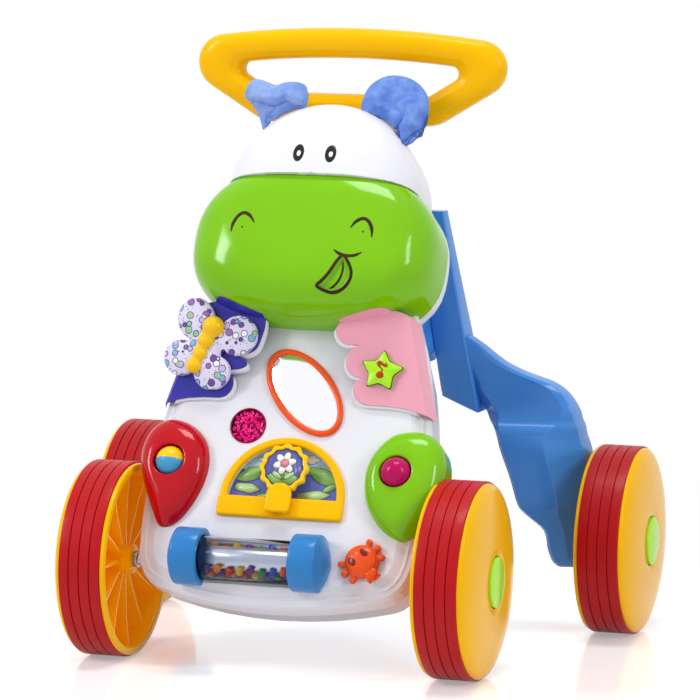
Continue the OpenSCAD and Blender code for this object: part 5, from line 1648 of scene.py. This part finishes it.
# The right ear: a round pad gathered to a narrow foot on the dome's rim
EAR_R = soft_loop((18, 366), (17.5, 377), (21.6, 388), (30, 395.6), (41, 398.4), (53, 396.6),
                    (64, 390), (71.4, 379.5), (73.6, 366), (71, 352), (64, 341.6), (57, 340),
                    (50, 347.6), (41.5, 354.5), (33, 359.6), (24.5, 361.6))
EAR_L = soft_loop((-68.5, 373), (-69, 383), (-63.6, 388), (-53, 386.4), (-46, 384.6), (-40, 386.6),
                    (-31, 386.8), (-23, 384.4), (-20.6, 378), (-21.5, 369.6), (-29, 366.6),
                    (-38, 362), (-46, 355.6), (-52.5, 348.5), (-56.5, 354), (-60.5, 362))
pad_levels = [(0.72, 17.4), (0.93, 18.4), (1.0, 21), (1.0, 23.4), (0.93, 26), (0.72, 27.2)]
FOOT_R, FOOT_L = Vector((52, 338, 0)), Vector((-47, 345, 0))


def gather(obj, foot, count, reach, depth, phase):
    """Creases that fan out from the foot and fade on the way up, pressed into both faces."""
    for v in obj.data.vertices:
        p = v.co
        x = p.dot(AX) - panel(0, 0, 0).dot(AX)
        s = (p - panel(0, 0, 0)).dot(AS)
        h = (p - panel(0, 0, 0)).dot(AH)
        dx, ds = x * 1000 - foot.x, s * 1000 - foot.y
        far = math.hypot(dx, ds)
        turn = math.atan2(ds, dx)
        fade = math.exp(-(far / reach) ** 2)
        side = 1 if h * 1000 > 22.2 else -1
        wave = abs(math.sin(turn * count + phase + 0.35 * math.sin(far * 0.35)))
        press = depth * fade * (1 - wave) ** 1.4
        v.co -= AH * side * press / 1000
    return obj


plush_right = plush("plush_right", srgb(78, 118, 208), srgb(124, 160, 234))
plush_left = plush("plush_left", srgb(112, 146, 220), srgb(160, 184, 238))
ear_right = pad_from("right_ear_skin", EAR_R, pad_levels)
puffed(ear_right, 0.0014, 5, 0.0028)
gather(ear_right, FOOT_R, 3.6, 34, 7.5, 0.4)
fit(ear_right, "right_ear", plush_right)


ear_left = pad_from("left_ear_skin", EAR_L, [(0.72, 15.6), (0.93, 16.4), (1.0, 18.2), (1.0, 20.2),
                                             (0.93, 22.2), (0.72, 23)])
puffed(ear_left, 0.0013, 4, 0.0022)
gather(ear_left, FOOT_L, 3.2, 28, 6.0, 1.1)
fit(ear_left, "left_ear", plush_left)
FLAP = soft_loop((-69.4, 372), (-69.8, 383), (-64, 388.6), (-53, 387.4), (-46, 385.4),
                   (-39.6, 387.6), (-30.6, 387.8), (-22.6, 385), (-20, 378), (-20.6, 370.4),
                   (-27, 368), (-35.5, 369.6), (-42, 367.2), (-50, 366.8), (-58, 368.4))
flap = pad_from("left_ear_flap", FLAP, [(0.75, 21.6), (0.94, 22.2), (1.0, 23.8), (1.0, 25.8), (0.94, 27.6),
                                        (0.75, 28.4)])
puffed(flap, 0.0012, 4, 0.0018)
dress(flap, plush_left, body_of_node["left_ear"])
print("soft pieces:", len(wings.data.polygons), len(ear_right.data.polygons), len(ear_left.data.polygons))

# %% [markdown]
# ## Side frames
# Each side frame is a channel that is open at the back. A row of sections runs from the foot up the
# leg into the arm; each section has a ridge down its front, a chamfered inner edge and an outer face
# that slopes back. The upright is a second, narrower channel whose lower end is cut at a slant.

# %% Side frames
FRAME_WALL = 2.5
LEG_OUT, LEAN_SLOPE = 166.5, math.tan(math.radians(27.1))


def channel_ring(side, z, x_in, x_out, y_in, y_out, y_back, chamfer, ridge, drop, floor, tilt=0.0):
    """One section of a channel; y runs back from the front axle, and z up from the axles."""
    xm, ym = x_in + (x_out - x_in) * ridge, y_in + (y_out - y_in) * ridge
    end = y_out + drop
    w = FRAME_WALL
    outer = [(x_in, y_back), (x_in, y_in + chamfer), (x_in + 0.12 * chamfer, y_in + 0.72 * chamfer),
             (x_in + 0.8 * chamfer, y_in + 0.08 * chamfer), (x_in + chamfer, y_in), (xm - 0.9, ym),
             (xm + 0.9, ym + 0.4), (x_out - 1.2, end - 0.5), (x_out - 0.3, end + 0.3), (x_out, end + 1.4),
             (x_out, y_back)]
    inner = [(x_out - w, y_back), (x_out - w, end + w + 1.4), (xm, ym + w + 0.8),
             (x_in + chamfer + 0.8, y_in + w), (x_in + w, y_in + chamfer + 1), (x_in + w, y_back)]
    limit = y_back - 0.3
    inner = [(x, limit if floor and 0 < i < 5 else (y if y == y_back else min(y, limit)))
             for i, (x, y) in enumerate(inner)]
    return [Vector((side * x, y - MID_Y, z + AXLE_H - tilt * (x - x_in))) / 1000 for x, y in outer + inner]


# height, inner x, outer x, front y at both sides, back y, chamfer, ridge share, drop of the outer face
LEG = [
    (-22, 142, 158.5, -11, -9, 10, 3, 0.55, 0),
    (-18, 139, 163.5, -16, -15, 14, 4, 0.52, 3),
    (-8, 136.5, LEG_OUT, -21, -21, 18, 4, 0.5, 10),
    (6, 134, LEG_OUT, -24, -24, 20, 4, 0.48, 16),
    (17, 121, LEG_OUT, -26, -27, 20, 4, 0.56, 19),
    (25, 114.5, LEG_OUT, -28, -29, 20, 4, 0.6, 21),
    (44, 109, LEG_OUT - 2, -30, -31, 18, 4, 0.6, 22),
    (65, 102, LEG_OUT - 5, -33, -34, 14, 4, 0.58, 21),
    (76, 99.5, LEG_OUT - 8, -35, -30, 11, 4, 0.6, 15),
    (83, 97.5, LEG_OUT - 9, -37, -24, 9, 5, 0.7, 7),
    (88, 92, LEG_OUT - 11, -33, -21, 8, 9, 0.82, 3),
    (94, 87.5, LEG_OUT - 12.5, -31, -21, 7, 13, 0.88, 2.5),
    (102, 82, LEG_OUT - 16, -32, -22, 3, 15, 0.91, 3),
    (110, 75, LEG_OUT - 21, -34, -25, -3, 16, 0.91, 3),
    (117, 73, LEG_OUT - 30, -35, -29, -9, 14, 0.9, 3),
    (124, 73, LEG_OUT - 48, -38, -34, -16, 11, 0.86, 3),
    (132, 73, 104, -43, -40, -23, 7, 0.8, 2.5),
    (144, 73, 91, -49, -46, -32, 3.5, 0.72, 1.5),
    (152, 73, 82, -55, -53, -40, 2, 0.6, 0.5),
]


def side_frame(side, node):
    """The leg, the upright and the axle's boss of one side frame."""
    rings = []
    for z, x_in, x_out, y_in, y_out, y_back, *form in LEG:
        rings.append(channel_ring(side, z, x_in, x_out, REAR_Y + y_in, REAR_Y + y_out, REAR_Y + y_back,
                                  *form, floor=len(rings) < 2))
    columns = [smooth_run([ring[j] for ring in rings], 4) for j in range(len(rings[0]))]
    leg = solid(node + "_skin", [list(row) for row in zip(*columns)])
    fit(sharp(leg, 17), node)
    upright = []
    for z, wide, tilt, floor in ((98.5, 84, 0.42, True), (101, 84, 0.42, True), (104, 84, 0.3, False),
                                 (150, 80.5, 0, False), (200, 78.5, 0, False), (244, 77, 0, False),
                                 (246, 77, 0, True), (248, 77, 0, True)):
        front = 120 + (248 - z) * LEAN_SLOPE
        back = front + 12 + 18 * (248 - z) / 148
        upright.append(channel_ring(side, z + 14 * tilt, 56, wide, front, front, back, 1.2, 0.82, 0.9,
                                    floor=floor, tilt=tilt))
    post = sharp(solid(node + "_upright", upright), 24)
    dress(post, finish["blue_plastic"], "walker")
    boss = turned(node + "_boss", [(4.3, 135), (10, 135), (10, 165), (4.3, 165)], side, 0, 1, 48)
    dress(sharp(boss, 40), finish["blue_plastic"], "walker")


for side, label in SIDES:
    side_frame(side, "side_frame_" + label)
print("leg sections:", len(LEG))

# %% [markdown]
# ## Front shell
# The flat face ends in a crisp line where the rounded shoulder begins, so two rings of the rounded
# edge are sunk a little into a copy of the CAD piece.

# %% Front shell
def crisp_shoulder(shape):
    """Sinks two rings of the rounded edge, so that the flat face ends in a line."""
    for v in shape.verts:
        h = (v.co - panel(0, 0, 0)).dot(AH) * 1000
        if abs(h + 0.7) < 0.04:
            v.co -= AH * 0.0021
        elif abs(h + 2.4) < 0.04:
            v.co -= AH * 0.0022


fit(moulding("front_shell", 17, crisp_shoulder), "front_shell")
print("front shell ready")

# %% The remaining nodes
hidden = {"battery_box", "batteries", "circuit_board", "speaker", "shell_screws", "button_springs"}
made = 0
for name in sorted(nodes):
    if name in fitted:
        continue
    if name in hidden:
        paint(nodes[name], finish[slot_of_node[name]])
        continue
    fit(moulding(name), name)
    made += 1
print("mouldings:", made)
